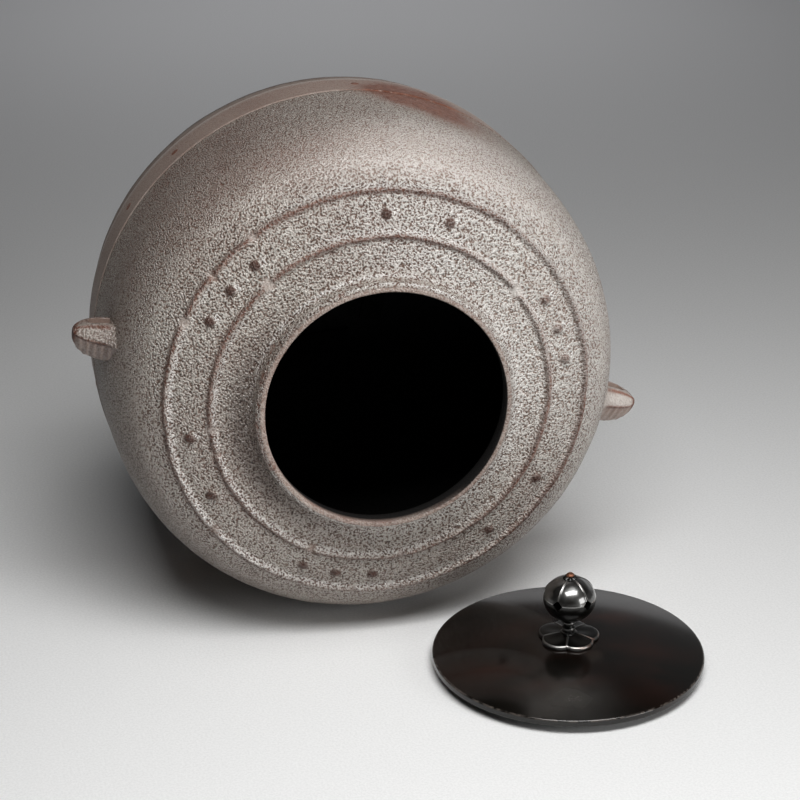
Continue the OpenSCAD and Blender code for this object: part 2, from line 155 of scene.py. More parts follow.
def soften(points, width):
    """A closed outline with its corners rounded over about width samples."""
    reach = int(3 * width)
    k = np.exp(-0.5 * (np.arange(-reach, reach + 1) / width) ** 2)
    k /= k.sum()
    return np.column_stack([
        np.convolve(np.concatenate([c[-reach:], c, c[:reach]]), k, mode="valid") for c in points.T])


def spread(weight, count):
    """Indices, as whole numbers, of count samples of a closed line whose density follows weight."""
    total = np.concatenate([[0], np.cumsum(weight)])
    at = np.interp(np.arange(count) * total[-1] / count, total, np.arange(len(total)))
    return np.unique(at.astype(int))


def normals_of(points):
    """Outward unit normals of a closed outline that runs anticlockwise."""
    tangent = np.roll(points, -1, axis=0) - np.roll(points, 1, axis=0)
    tangent /= np.linalg.norm(tangent, axis=1)[:, None]
    return np.column_stack([tangent[:, 1], -tangent[:, 0]])


def wave(points, size, seed=0.0):
    """Smooth noise from -1 to 1 at an array of points, with features of about that size."""
    flat = np.asarray(points, float).reshape(-1, 3) / size + seed
    return np.array([noise.noise(p) for p in flat.tolist()]).reshape(np.shape(points)[:-1])


def turn_from(angle, centre):
    """Degrees from centre to angle, from -180 to 180."""
    return (angle - centre + 180) % 360 - 180


def near(angle, centre, width):
    """A bell round a clock angle, 1 at its centre."""
    return bell(turn_from(angle, centre), width)


def around(clock, pairs):
    """A value at each clock angle, read off (angle, value) pairs that close into a ring."""
    return np.interp(clock, *zip(*pairs), period=360)


def bell(x, width):
    """1 at 0, and falling off over about width to both sides."""
    return np.exp(-(x / width) ** 2)


def step(x, low, high):
    """0 below low and 1 above high, smooth between."""
    t = np.clip((x - low) / (high - low), 0, 1)
    return t * t * (3 - 2 * t)


def polar(r, z, angles):
    """Points at radii and heights, rows by columns, with an angle by column."""
    a = np.radians(angles)
    return np.stack(np.broadcast_arrays(r * np.cos(a), r * np.sin(a), z + 0 * a), axis=-1)


def turned(line, angles, lift=0.0, slope=None):
    """Points of a form turned from an outline of (r, z) rows.
    lift moves each point along its row's normal, which slope gives as (r, z)."""
    r, z = line[:, :1], line[:, 1:]
    if slope is not None:
        r, z = r + slope[:, :1] * lift, z + slope[:, 1:] * lift
    return polar(r, z, angles)


def ray(angle):
    """Unit vectors outwards at a clock angle, and along the turn there."""
    x, y = math.cos(math.radians(angle)), math.sin(math.radians(angle))
    return np.array([x, y, 0]), np.array([-y, x, 0])


def in_scene(name, data, at=None, towards=None):
    """A new object in the scene; a lamp or camera also gets its place and the way it looks."""
    made = bpy.data.objects.new(name, data)
    bpy.context.scene.collection.objects.link(made)
    if towards is not None:
        made.location = at
        made.rotation_mode = "QUATERNION"
        made.rotation_quaternion = towards.to_track_quat("-Z", "Y")
    return made


def mesh_object(name, points, place, shares=None, faces=None):
    """A closed, smooth object from points in millimetres, set in the row frame.
    shares gives attributes by name, each one number or an array that fits the points.
    Without faces, the points are a grid that closes both ways."""
    mesh = bpy.data.meshes.new(name)
    faces = faces or grid_faces(*np.shape(points)[:2])
    mesh.from_pydata((np.asarray(points).reshape(-1, 3) * MM).tolist(), [], faces)
    for key, values in (shares or {}).items():
        full = np.broadcast_to(values, np.shape(points)[:-1]).astype(np.float32)
        mesh.attributes.new(key, "FLOAT", "POINT").data.foreach_set("value", full.ravel())
    mesh.transform(place)
    mesh.polygons.foreach_set("use_smooth", [True] * len(mesh.polygons))
    mesh.update()
    face_out(mesh)
    return in_scene(name, mesh)


def face_out(mesh):
    """Turns a closed mesh's faces outwards."""
    work = bmesh.new()
    work.from_mesh(mesh)
    bmesh.ops.recalc_face_normals(work, faces=work.faces)
    work.to_mesh(mesh)
    work.free()


def grid_faces(rows, columns, wrap_rows=True, start=0):
    """Quads of a grid of points, joined round its columns, and round its rows where asked."""
    i, j = np.meshgrid(np.arange(rows if wrap_rows else rows - 1), np.arange(columns), indexing="ij")
    a, b = i * columns + j, i * columns + (j + 1) % columns
    c, d = (i + 1) % rows * columns + (j + 1) % columns, (i + 1) % rows * columns + j
    return (np.stack([a, b, c, d], axis=-1).reshape(-1, 4) + start).tolist()


def capped_faces(rows, columns, start=0):
    """Quads of a tube of points, with its first and last ring closed."""
    ends = [list(range(start, start + columns)),
            list(range(start + (rows - 1) * columns, start + rows * columns))[::-1]]
    return grid_faces(rows, columns, wrap_rows=False, start=start) + ends


def dress(obj, material, body, slot, *nodes):
    """Gives a piece its material and its body, and hides the solids that it stands for; slot is not used.
    """
    obj.data.materials.clear()
    obj.data.materials.append(material)
    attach(obj, body)
    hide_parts(*nodes)


class Nodes:
    """Short way to build a node tree: a value that is a socket is linked, any other is set."""

    def __init__(self, tree):
        self.tree = tree

    def put(self, socket, value):
        if isinstance(value, bpy.types.NodeSocket):
            self.tree.links.new(value, socket)
        else:
            socket.default_value = value

    def add(self, kind, settings=None, **inputs):
        made = self.tree.nodes.new(kind)
        for key, value in (settings or {}).items():
            setattr(made, key, value)
        for key, value in inputs.items():
            self.put(made.inputs[key.replace("_", " ")], value)
        return made

    def range(self, value, low, high, to_low=0.0, to_high=1.0):
        """Value mapped from one range to another, with soft ends."""
        return self.add("ShaderNodeMapRange", {"interpolation_type": "SMOOTHSTEP"}, Value=value,
                        From_Min=low, From_Max=high, To_Min=to_low, To_Max=to_high).outputs["Result"]

    def math(self, operation, a, b=0.0, clamp=False):
        made = self.add("ShaderNodeMath", {"operation": operation, "use_clamp": clamp})
        self.put(made.inputs[0], a)
        self.put(made.inputs[1], b)
        return made.outputs[0]

    def times(self, first, *others, clamp=False):
        for other in others:
            first = self.math("MULTIPLY", first, other, clamp)
        return first


class Paint(Nodes):
    """Nodes of a material, round one principled shader."""

    def __init__(self, name):
        self.material = bpy.data.materials.new(name)
        self.material.use_nodes = True
        super().__init__(self.material.node_tree)
        self.tree.nodes.clear()
        self.shader = self.add("ShaderNodeBsdfPrincipled")
        out = self.add("ShaderNodeOutputMaterial")
        self.tree.links.new(self.shader.outputs[0], out.inputs["Surface"])
        self.coords = self.add("ShaderNodeTexCoord").outputs["Object"]

    def attribute(self, name):
        return self.add("ShaderNodeAttribute", {"attribute_name": name}).outputs["Fac"]

    def noise(self, scale, detail=2.0, roughness=0.5, vector=None):
        return self.add("ShaderNodeTexNoise", Vector=vector or self.coords, Scale=scale, Detail=detail,
                        Roughness=roughness).outputs["Fac"]

    def blend(self, share, a, b):
        """Number between a and b."""
        made = self.add("ShaderNodeMix", {"data_type": "FLOAT"})
        for i, value in ((0, share), (2, a), (3, b)):
            self.put(made.inputs[i], value)
        return made.outputs[0]

    def tint(self, share, a, b, mode="MIX"):
        """Colour between a and b."""
        made = self.add("ShaderNodeMix", {"data_type": "RGBA", "blend_type": mode})
        self.put(made.inputs[0], share)
        for i, value in ((6, a), (7, b)):
            self.put(made.inputs[i], value if isinstance(value, bpy.types.NodeSocket) else (*value, 1.0))
        return made.outputs[2]

    def bump(self, height, distance, strength):
        made = self.add("ShaderNodeBump", Height=height, Distance=distance, Strength=strength)
        return made.outputs["Normal"]

    def finish(self, **inputs):
        """Sets the shader's inputs and gives the material."""
        for key, value in inputs.items():
            self.put(self.shader.inputs[key.replace("_", " ")], value)
        return self.material


# Materials

# Attributes that the iron material reads
IRON_SHARES = ("grain", "rust", "soot", "shade_and_dirt", "pale", "bloom", "fine", "painted_pit_light")


def iron_material():
    """Cast iron with a pebbled grain: pale on the tops and brown in the pits, with rust, painted light and
    painted shade by attribute.
    """
    n = Paint("iron_skin")
    grain, rust, soot, shade_and_dirt, pale, bloom, fine, painted_pit_light = map(n.attribute, IRON_SHARES)
    pebble = n.blend(fine, n.noise(1050, 0.0), n.noise(1350, 0.0))
    speck = n.blend(fine, n.noise(2000, 1.0), n.noise(2500, 1.0))
    lumps = n.blend(0.48, pebble, speck)
    tops = n.range(lumps, 0.40, 0.54)
    cloud = n.range(n.noise(26, 3.0, 0.55), 0.35, 0.68)
    top = n.tint(cloud, (0.50, 0.46, 0.41), (0.42, 0.37, 0.325))
    # Painted light: the grain's tops turn near white where highlights and lit zones are painted
    top = n.tint(bloom, top, (0.80, 0.775, 0.745))
    brown = n.tint(cloud, (0.155, 0.095, 0.067), (0.14, 0.075, 0.05))
    # Painted light in the pits: they turn lighter and browner where the flank is lit
    brown = n.tint(painted_pit_light, brown, (0.42, 0.325, 0.27))
    deep = n.tint(painted_pit_light, (0.055, 0.029, 0.020), (0.25, 0.155, 0.115))
    # The pits' dark colour is brown oxide in the hollows, deepened as painted shade there
    grainy = n.tint(tops, n.tint(n.range(lumps, 0.29, 0.40), deep, brown), top)
    smooth = n.tint(cloud, (0.37, 0.275, 0.228), (0.30, 0.208, 0.17))
    # Paleness: worn smooth iron, and painted highlights on lit crests, studs, edges and lug faces
    smooth = n.tint(pale, smooth, (0.56, 0.525, 0.49))
    skin = n.tint(grain, smooth, grainy)
    rusty = n.tint(n.range(n.noise(300, 3.0), 0.35, 0.65), (0.145, 0.050, 0.029), (0.225, 0.094, 0.060))
    patchy = n.times(rust, n.range(n.noise(420, 2.0), 0.15, 0.42), clamp=True)
    patchy = n.times(patchy, n.blend(n.times(tops, grain), 1.0, 0.6))
    colour = n.tint(patchy, skin, rusty)
    # Mostly painted shade: darker in the gutter, under rings and studs, low down, on the left and on the
    # lugs' lower facets; also a darkening of the rim's flat and a little brown with the rust
    colour = n.tint(shade_and_dirt, colour, (0.30, 0.25, 0.22), "MULTIPLY")
    colour = n.tint(soot, colour, (0.011, 0.010, 0.0095))
    height = n.times(n.blend(0.2, pebble, speck), n.math("ADD", grain, 0.04))
    rough = n.math("ADD", n.blend(tops, 0.55, 0.38), n.times(soot, 0.4))
    shine = n.blend(patchy, n.blend(tops, 0.25, 0.5), 0.15)
    relief = n.bump(height, n.blend(fine, 0.0019, 0.0016), 1.0)
    return n.finish(Base_Color=colour, Roughness=rough, IOR=2.0, Normal=relief,
                    Specular_IOR_Level=n.blend(soot, shine, 0.05))


def fired_material():
    """Iron that has stood over the fire: brown-black, matt, with faint scale, browner by its seam."""
    n = Paint("fired_iron")
    soot, clean = n.attribute("soot"), n.attribute("clean")
    cloud = n.range(n.noise(30, 4.0, 0.6), 0.3, 0.7)
    scale = n.noise(900, 3.0, 0.6)
    skin = n.tint(cloud, (0.125, 0.11, 0.10), (0.075, 0.062, 0.055))
    skin = n.tint(n.range(n.noise(70, 3.0), 0.58, 0.75), skin, (0.13, 0.070, 0.048))
    seam = n.tint(n.range(n.noise(220, 4.0), 0.40, 0.75), (0.27, 0.215, 0.185), (0.19, 0.135, 0.11))
    skin = n.tint(clean, skin, seam)
    colour = n.tint(soot, skin, (0.006, 0.0055, 0.005))
    return n.finish(Base_Color=colour, Roughness=n.range(scale, 0.3, 0.7, 0.62, 0.85), IOR=1.6,
                    Normal=n.bump(scale, 0.0003, 0.5))


def soot_material():
    """Blackened iron chips inside the kettle."""
    n = Paint("sooted_chip")
    scale = n.noise(700, 3.0)
    colour = n.tint(n.range(scale, 0.4, 0.7), (0.008, 0.007, 0.006), (0.016, 0.012, 0.01))
    return n.finish(Base_Color=colour, Roughness=n.range(scale, 0.3, 0.7, 0.75, 0.95),
                    Normal=n.bump(scale, 0.0003, 0.5))


def lacquer_material():
    """Dark lacquer dabs."""
    n = Paint("lacquer_dab")
    flow = n.noise(300, 2.0)
    colour = n.tint(n.range(flow, 0.35, 0.65), (0.010, 0.006, 0.004), (0.018, 0.010, 0.007))
    return n.finish(Base_Color=colour, Roughness=n.range(flow, 0.3, 0.7, 0.4, 0.6),
                    Normal=n.bump(flow, 0.0004, 0.4))


def lid_material():
    """Near-black patinated bronze with reddish-brown clouds and a soft polish."""
    n = Paint("lid_bronze")
    stretched = n.add("ShaderNodeMapping", Vector=n.coords, Scale=(0.7, 1.5, 1.0)).outputs["Vector"]
    cloud = n.range(n.noise(30, 3.0, 0.5, stretched), 0.40, 0.75)
    cloud = n.times(cloud, n.math("ADD", n.attribute("red"), 0.25), clamp=True)
    haze_and_reflection = n.times(n.attribute("haze_and_reflection"), n.range(n.noise(90, 3.0), 0.3, 0.7, 0.55, 1.0))
    fine = n.noise(1400, 3.0)
    scuff = n.range(n.noise(160, 5.0, 0.7), 0.6, 0.75)
    edge = n.attribute("edge")
    colour = n.tint(cloud, (0.0035, 0.0030, 0.0024), (0.024, 0.0085, 0.0058))
    # Painted reflection: a grey patch on the lid's front, where the patina is also rougher
    colour = n.tint(haze_and_reflection, colour, (0.033, 0.031, 0.028))
    worn = n.times(edge, n.range(n.noise(500, 3.0), 0.35, 0.65), clamp=True)
    colour = n.tint(worn, colour, (0.10, 0.085, 0.075))
    rough = n.math("ADD", n.range(fine, 0.3, 0.7, 0.13, 0.17), n.times(scuff, 0.08))
    rough = n.math("ADD", rough, n.times(haze_and_reflection, 0.12))
    return n.finish(Base_Color=colour, Roughness=rough, IOR=1.5, Normal=n.bump(fine, 0.00002, 0.2))


def gunmetal_material(name, shade, coat):
    """Polished dark bronze of the knob, pale on its edges from wear and from painted highlights, and worn
    to copper in places.
    """
    n = Paint(name)
    edge = n.attribute("edge")
    cloud = n.range(n.noise(260, 3.0, 0.6), 0.35, 0.7)
    fine = n.noise(2600, 3.0)
    colour = n.tint(cloud, (shade, shade, 0.95 * shade), (0.7 * shade, 0.65 * shade, 0.6 * shade))
    copper = n.times(n.attribute("warm"), n.range(n.noise(330, 2.0), 0.40, 0.55), clamp=True)
    copper = n.times(copper, edge)
    # Pale edges: worn bronze, with painted highlights on the seat's front rims, the neck's beads and the
    # knob's ribs and seam lip
    colour = n.tint(edge, colour, (0.48, 0.47, 0.45))
    colour = n.tint(copper, colour, (0.36, 0.16, 0.09))
    return n.finish(Base_Color=colour, Roughness=n.range(fine, 0.3, 0.7, 0.34, 0.42), Metallic=1.0,
                    Coat_Weight=coat, Coat_Roughness=0.12, Coat_IOR=2.0, Normal=n.bump(fine, 0.00003, 0.25))


def copper_material():
    """Hammered, worn copper of the pin."""
    n = Paint("copper")
    fine = n.noise(1600, 3.0)
    colour = n.tint(n.range(fine, 0.35, 0.65), (0.12, 0.046, 0.027), (0.30, 0.135, 0.08))
    return n.finish(Base_Color=colour, Roughness=n.range(fine, 0.3, 0.7, 0.4, 0.6), Metallic=0.9,
                    Normal=n.bump(fine, 0.0002, 0.5))


def floor_material():
    """Pale paper with a faint tooth."""
    n = Paint("paper")
    tooth = n.noise(900, 3.0, 0.6)
    colour = n.tint(n.range(tooth, 0.3, 0.7), (0.79, 0.79, 0.785), (0.86, 0.86, 0.855))
    return n.finish(Base_Color=colour, Roughness=0.85, IOR=1.2, Normal=n.bump(tooth, 0.0003, 0.35))


iron = iron_material()
fired = fired_material()
soot = soot_material()
lacquer = lacquer_material()
bronze = lid_material()
gunmetal = gunmetal_material("knob_bronze", 0.08, 1.0)
# A darker, less glossy copy of the knob's bronze: darker patina, and on the knob's lower half also painted
# shade
dull_gunmetal = gunmetal_material("knob_bronze_dull", 0.022, 0.2)
copper = copper_material()

# Upper casting

STUD_CIRCLE_R = (INNER_RIDGE_R + OUTER_RIDGE_R) / 2
STUD_R = 2.4
STUD_H = 1.8
STUD_ANGLES = (128.8, 139.0, 150.0, 87.2, 67.8, 28.0, 17.6, 7.7, -32.2, -53.8, -114.7, -104.2, -92.6,
               -172.7, -152.9)
RIDGE_HALF_W = 2.2
RIDGE_H = 1.9
# Breaks in the two raised rings: clock angle and half-width, both in degrees
OUTER_BREAKS = ((125.0, 1.0), (139.5, 0.8), (154.0, 1.6), (-98.0, 0.7), (-143.0, 1.2))
INNER_BREAKS = ((130.4, 1.6), (37.0, 1.8), (-174.9, 1.4), (-166.0, 1.0), (-115.8, 1.4), (-84.2, 0.8))
# Flat smooth patches where a ring breaks: ring's radius, clock angle, patch's radius
BLOBS = ((INNER_RIDGE_R, 130.4, 3.2), (INNER_RIDGE_R, 37.0, 3.4), (INNER_RIDGE_R, -174.9, 2.4),
         (INNER_RIDGE_R, -84.2, 2.0), (OUTER_RIDGE_R, 154.0, 2.8), (OUTER_RIDGE_R, 125.0, 2.0))
SPUR_ANGLE = 87.6

# The tables below give a value by clock angle.
# How far outside each ring's middle its painted shade line and its rust lie, and how far outside the line
# its painted crest highlight
LINE_OFFSETS = ((10, -1.1), (70, -1.1), (104, -0.8), (132, 0.5), (146, 0.7), (178, 1.6), (220, 2.4),
                (275, 1.2), (325, -0.7))
RUST_OFFSETS = ((10, 0.7), (70, -0.9), (104, -0.4), (132, 0.3), (146, 0.4), (178, 1.1), (220, 1.8),
                (275, 1.0), (325, 0.0))
CREST_OFFSETS = ((10, 1.9), (60, 2.2), (100, 3.0), (124, 3.0), (126, -2.7), (344, -3.4), (346, 3.0))
# How dark that painted shade line is and how pale that painted crest highlight
LINE_SHADES = ((10, 0.85), (70, 0.65), (104, 0.5), (146, 0.45), (178, 0.4), (220, 0.7), (275, 0.7),
               (325, 0.8))
CREST_HIGHLIGHTS = ((10, 0.45), (35, 0.8), (70, 0.35), (104, 0.4), (125, 0.0), (146, 0.4), (178, 0.9),
                (220, 1.0), (275, 0.7), (325, 0.2), (345, 0.0))
# How rusty a stud is, with painted shade: most on the shaded left, least on the lit right
STUD_RUST_AND_SHADE = ((5, 0.45), (32, 0.45), (60, 0.7), (90, 1.0), (325, 1.0))
# Darkening of the rim's flat by clock angle, and painted light on its bevel
FLAT_SHADES = ((10, 0.4), (65, 0.2), (100, 0.2), (132, 0.3), (162, 0.15), (220, 0.1), (255, 0.15),
               (290, 0.4), (320, 0.4), (345, 0.5))
BEVEL_SHADES = ((10, 0.0), (65, 0.3), (100, 0.0), (162, 0.0), (190, 0.5), (222, 0.7), (255, 0.8),
                (290, 0.6), (320, 0.45), (345, 0.0))

GUTTER_R = MOUTH_R + COLLAR_WALL + COLLAR_FILLET
BELOW_RIM_Z = RIM_Z - 2.6
BODY_SAMPLE = 0.1
BODY_ROWS = 200
BODY_COLUMNS = 500


def body_outline():
    """Closed outline of the upper casting, anticlockwise, with soft corners."""
    collar_r = MOUTH_R + COLLAR_WALL
    gutter_z = shoulder_z(GUTTER_R)
    band_top_r = flank_r(-BAND_DROP) + BAND_PROUD
    band_foot_r = band_top_r - BAND_W * math.tan(math.radians(BAND_TAPER))
    seam_in_r = flank_r(SEAM_Z, BODY_WALL)
    join_r = MOUTH_R + BODY_WALL
    points = [(seam_in_r, SEAM_Z), (band_foot_r, SEAM_Z), (band_top_r, -BAND_DROP)]
    points += oval_arc((flank_r(-BAND_DROP), -BAND_DROP), (GUTTER_R, gutter_z))
    points += arc((GUTTER_R, gutter_z + COLLAR_FILLET), COLLAR_FILLET, 270, 180)
    points += [(collar_r, RIM_Z - RIM_BEVEL), (MOUTH_R + RIM_FLAT, RIM_Z), (MOUTH_R, RIM_Z)]
    points += [(MOUTH_R, RIM_Z - MOUTH_LAND)]
    points += oval_arc((join_r, shoulder_z(join_r, BODY_WALL)), (seam_in_r, SEAM_Z), BODY_WALL)
    return soften(resample(points, BODY_SAMPLE), 2.5)


def body_density(r, z, outside, shoulder, collar):
    """How closely the outline is sampled: most at the rings, the studs, the collar and the band's edges."""
    weight = np.select([collar, shoulder & (r < 105), outside], [1.7, 1.0, 0.55], 0.14)
    for ring in (INNER_RIDGE_R, OUTER_RIDGE_R):
        weight += shoulder * 1.6 * bell(r - ring, RIDGE_HALF_W)
    weight += shoulder * 1.2 * bell(r - STUD_CIRCLE_R, STUD_R)
    for edge in (-BAND_DROP, SEAM_Z):
        weight += outside * 2.0 * bell(z - edge, 0.8)
    return weight


class Skin:
    """Grid over the upper casting: its zones, its lift, and shares from 0 to 1 for the iron material."""

    def __init__(self):
        line = body_outline()
        slope = normals_of(line)
        r, z = line.T
        outside = (slope * line).sum(axis=1) > 0
        shoulder = outside & (z > 40) & (r > GUTTER_R)
        collar = outside & (z > 60) & ~shoulder
        rows = spread(body_density(r, z, outside, shoulder, collar), BODY_ROWS)
        fan = np.arange(0, 360, 0.02)
        self.angles = fan[spread(1 + 3 * sum(near(fan, a, 1.5) for a in STUD_ANGLES), BODY_COLUMNS)]
        self.line, self.slope = line[rows], slope[rows]
        self.base = turned(self.line, self.angles)
        self.rr, self.zz, self.clock = self.line[:, :1], self.line[:, 1:], self.angles[None, :]
        self.outside, self.shoulder, self.collar = (x[rows][:, None] for x in (outside, shoulder, collar))
        self.lift = np.zeros(self.base.shape[:2])
        # Shares laid by rings and studs: rust, bare smooth iron, paleness, painted light, and painted shade
        # under them
        self.share = {key: np.zeros_like(self.lift) for key in ("rust", "bare", "pale", "bloom", "under")}

    def most(self, **shares):
        """Raises shares to at least these values."""
        for key, value in shares.items():
            self.share[key] = np.maximum(self.share[key], value)


def raised_rings(s):
    """Raised rings, uneven and broken as cast, each with rust, a painted shade line on its shaded side and
    a painted highlight on its crest.
    """
    clock, shoulder = s.clock, s.shoulder
    line_at, painted_line_shade = around(clock, LINE_OFFSETS), around(clock, LINE_SHADES)
    crest_at, crest_highlight = line_at + around(clock, CREST_OFFSETS), around(clock, CREST_HIGHLIGHTS)
    rust_at = around(clock, RUST_OFFSETS)
    line_w, rust_w = 0.7 + 0.35 * near(clock, 15, 40), 1.1 + 0.4 * near(clock, -10, 35)
    circle = polar(1.0, 0.0, s.angles)
    for ring, breaks, seed in ((INNER_RIDGE_R, INNER_BREAKS, 3.0), (OUTER_RIDGE_R, OUTER_BREAKS, 8.0)):
        at_ring = circle * ring
        sway = 0.45 * wave(at_ring, 16, seed) + 0.2 * wave(at_ring, 4, seed)
        tall = 1 + 0.25 * wave(at_ring, 6, seed + 5) + 0.15 * wave(at_ring, 2.5, seed)
        for at, width in breaks:
            tall = tall * (1 - 0.85 * near(s.angles, at, width))
            s.most(bare=shoulder * near(clock, at, width) * bell(s.rr - ring, RIDGE_HALF_W))
        off = s.rr - ring - sway
        whole = shoulder * np.clip(tall, 0, 1)
        bead = np.clip(1 - (off / RIDGE_HALF_W) ** 2, 0, 1) ** 1.5
        s.lift += shoulder * RIDGE_H * tall * bead
        # Painted highlight: a smooth, solid pale crest where the rings face the light at the upper right
        highlit_crest = whole * near(clock, 38, 26) * bell(off - crest_at, 0.8)
        smooth = (0.15 + 0.4 * near(clock, -15, 30)) * shoulder * bead
        # Rust along each ring, thinned at the lit upper right; a painted shade line and a painted crest
        # highlight
        s.most(rust=whole * (1 - 0.85 * near(clock, 32, 28)) * bell(off - rust_at, rust_w),
               under=whole * painted_line_shade * bell(off - line_at, line_w),
               bloom=whole * crest_highlight * bell(off - crest_at, 1.2),
               bare=np.maximum(0.8 * highlit_crest, smooth), pale=0.9 * highlit_crest)
    spur = near(clock, SPUR_ANGLE, 0.5) * step(s.rr, OUTER_RIDGE_R - 1, OUTER_RIDGE_R)
    s.lift += shoulder * 0.8 * spur * step(-s.rr, -104, -101)


def ring_patches(s):
    """Flat smooth patches where the rings break: pale, and paler with painted light on the lit right."""
    for ring, at, size in BLOBS:
        across = np.radians(turn_from(s.clock, at)) * ring
        patch = s.shoulder * step(-np.hypot(across, s.rr - ring) / size, -1.0, -0.7)
        s.lift = np.maximum(s.lift, 0.7 * patch)
        # Paler towards the lit right: painted light
        s.most(bare=0.95 * patch, pale=(0.4 + 0.45 * near(s.clock, 37, 20)) * patch)
        s.share["rust"] = s.share["rust"] * (1 - 0.8 * patch)


def studs(s):
    """Studs, rusty and darkened with painted shade on the left. The ones at the right are paler lit domes
    with a painted shadow on one side.
    """
    rust_and_shade_share = around(s.clock, STUD_RUST_AND_SHADE)
    x, y = s.rr * np.cos(np.radians(s.clock)), s.rr * np.sin(np.radians(s.clock))
    for at in STUD_ANGLES:
        outwards = ray(at)[0]
        aside, above = x - STUD_CIRCLE_R * outwards[0], y - STUD_CIRCLE_R * outwards[1]
        knob = np.clip(1 - (np.hypot(aside + 0.4, above + 0.2) / STUD_R) ** 2, 0, 1)
        s.lift = np.maximum(s.lift, STUD_H * s.shoulder * np.sqrt(knob))
        rust_and_shade_spot = s.shoulder * rust_and_shade_share * step(-np.hypot(aside + 0.9, above + 0.5) / STUD_R, -1.2, -0.7)
        # Paleness of the lit domes at the right: painted light
        lit_dome = s.shoulder * (1 - rust_and_shade_share) * step(-np.hypot(aside, above) / STUD_R, -1.0, -0.7)
        # Painted shadow on the lower left of a lit stud
        shade = s.shoulder * (1 - rust_and_shade_share) * bell(np.hypot(aside + 1.7, above + 1.0), 1.6)
        # Painted highlight: a pale crescent at a stud's upper right, weak on the lower studs
        worn = s.shoulder * bell(np.hypot(aside - 2.3, above - 0.9), 1.5)
        if outwards[1] <= -0.3:
            worn = 0.2 * worn
        s.most(rust=rust_and_shade_spot, under=np.maximum(rust_and_shade_spot, 1.7 * shade), bare=np.maximum(0.4 * rust_and_shade_spot, 0.85 * lit_dome),
               pale=np.maximum(0.45 * lit_dome, worn), bloom=worn)


def uneven(s):
    """Unevenness of the casting."""
    rough = s.outside * step(s.zz, -6, -3)
    s.lift += rough * (0.22 * wave(s.base, 22) + 0.12 * wave(s.base, 7, 4.0))
    s.lift += (s.collar & (s.rr > MOUTH_R + 0.8)) * 0.12 * wave(s.base, 3.0, 2.0)


def rim_zones(s):
    """Shares of the rim's flat, of the bevel round it and of the gutter at the collar's foot."""
    flat = s.outside * step(s.zz, RIM_Z - 0.4, RIM_Z - 0.1)
    edge_r = MOUTH_R + RIM_FLAT
    bevel = s.outside * s.collar * step(s.rr, edge_r - 0.2, edge_r + 0.6)
    bevel = bevel * step(s.zz, RIM_Z - 3.4, RIM_Z - 2.6)
    gutter = s.outside * bell(np.hypot(s.rr - MOUTH_R - COLLAR_WALL - 3.0, s.zz - RIM_Z + 7.0), 6.0)
    return flat, bevel, gutter * (s.zz < BELOW_RIM_Z)


def rusty_patch(s):
    """Rust that has spread over the flank at the top, askew to the clock."""
    height, turn = s.zz - 4, s.clock - 74
    along, across = 0.698 * height - 1.49 * turn, 1.46 * turn + 0.715 * height
    patch = 2.1 * np.exp(-(along / 27) ** 2 - (across / np.where(across > 0, 13, 24)) ** 2)
    return s.outside * np.clip(patch * (1 + 0.4 * wave(s.base, 9, 2.0)), 0, 1)


def weather_flank(s, flat):
    """Grain, rust, painted highlights on the band's edges, and painted light on the top and right of the
    flank and its rings.
    """
    rr, zz, clock, outside, share = s.rr, s.zz, s.clock, s.outside, s.share
    band = outside * step(-zz, BAND_DROP - 0.3, BAND_DROP + 0.3)
    patch = rusty_patch(s)
    s.most(rust=np.maximum(patch, 0.3 * band * near(clock, 95, 60)))
    # Where the top of the flank is highlit: smoother grain, and a pale painted highlight
    smooth_highlight_zone = outside * near(clock, 84, 32) * bell(zz - 60, 16) * step(rr, 98, 102)
    front_edge = outside * bell(zz + BAND_DROP + 0.1, 0.8) * step(clock, 84, 92) * step(-clock, -185, -160)
    grain = outside * (1 - 0.85 * band) * (1 - 0.7 * flat) * (1 - 0.75 * share["bare"])
    grain = grain * (1 - 0.8 * patch) * (1 - 0.5 * smooth_highlight_zone) * (1 - 0.85 * front_edge)
    front_edge = front_edge * (0.25 + 0.75 * step(wave(s.base, 5, 3.0), -0.2, 0.3))
    # Painted highlights along the band's front and rear edges, and a slightly paler band
    edges = 0.5 * front_edge + 0.18 * band + 1.4 * outside * bell(zz - SEAM_Z - 1.4, 1.3)
    ringed = step(rr, 60, 64) * step(-rr, -104, -98)
    # Painted light on the highlit top and the lit right of the flank and rings, which also lightens the
    # pits
    highlit_top = 0.75 * near(clock, 72, 30) * step(rr, 98, 104) * step(zz, 25, 55)
    lit_right = 0.5 * near(clock, 10, 40) * step(zz, -5, 30)
    lit_right_rings = 0.45 * near(clock, 22, 38) * ringed
    share["grain"] = np.clip(grain, 0, 1)
    share["fine"] = outside * step(rr, 103, 113)
    share["painted_pit_light"] = outside * np.clip(0.7 * highlit_top + 0.8 * lit_right * step(rr, 98, 103) + lit_right_rings, 0, 1)
    share["pale"] = np.clip(np.maximum(share["pale"], 0.35 * smooth_highlight_zone) + 0.7 * edges, 0, 1)
    share["bloom"] = share["bloom"] + outside * (highlit_top + 0.5 * near(clock, 72, 33) * ringed + lit_right)


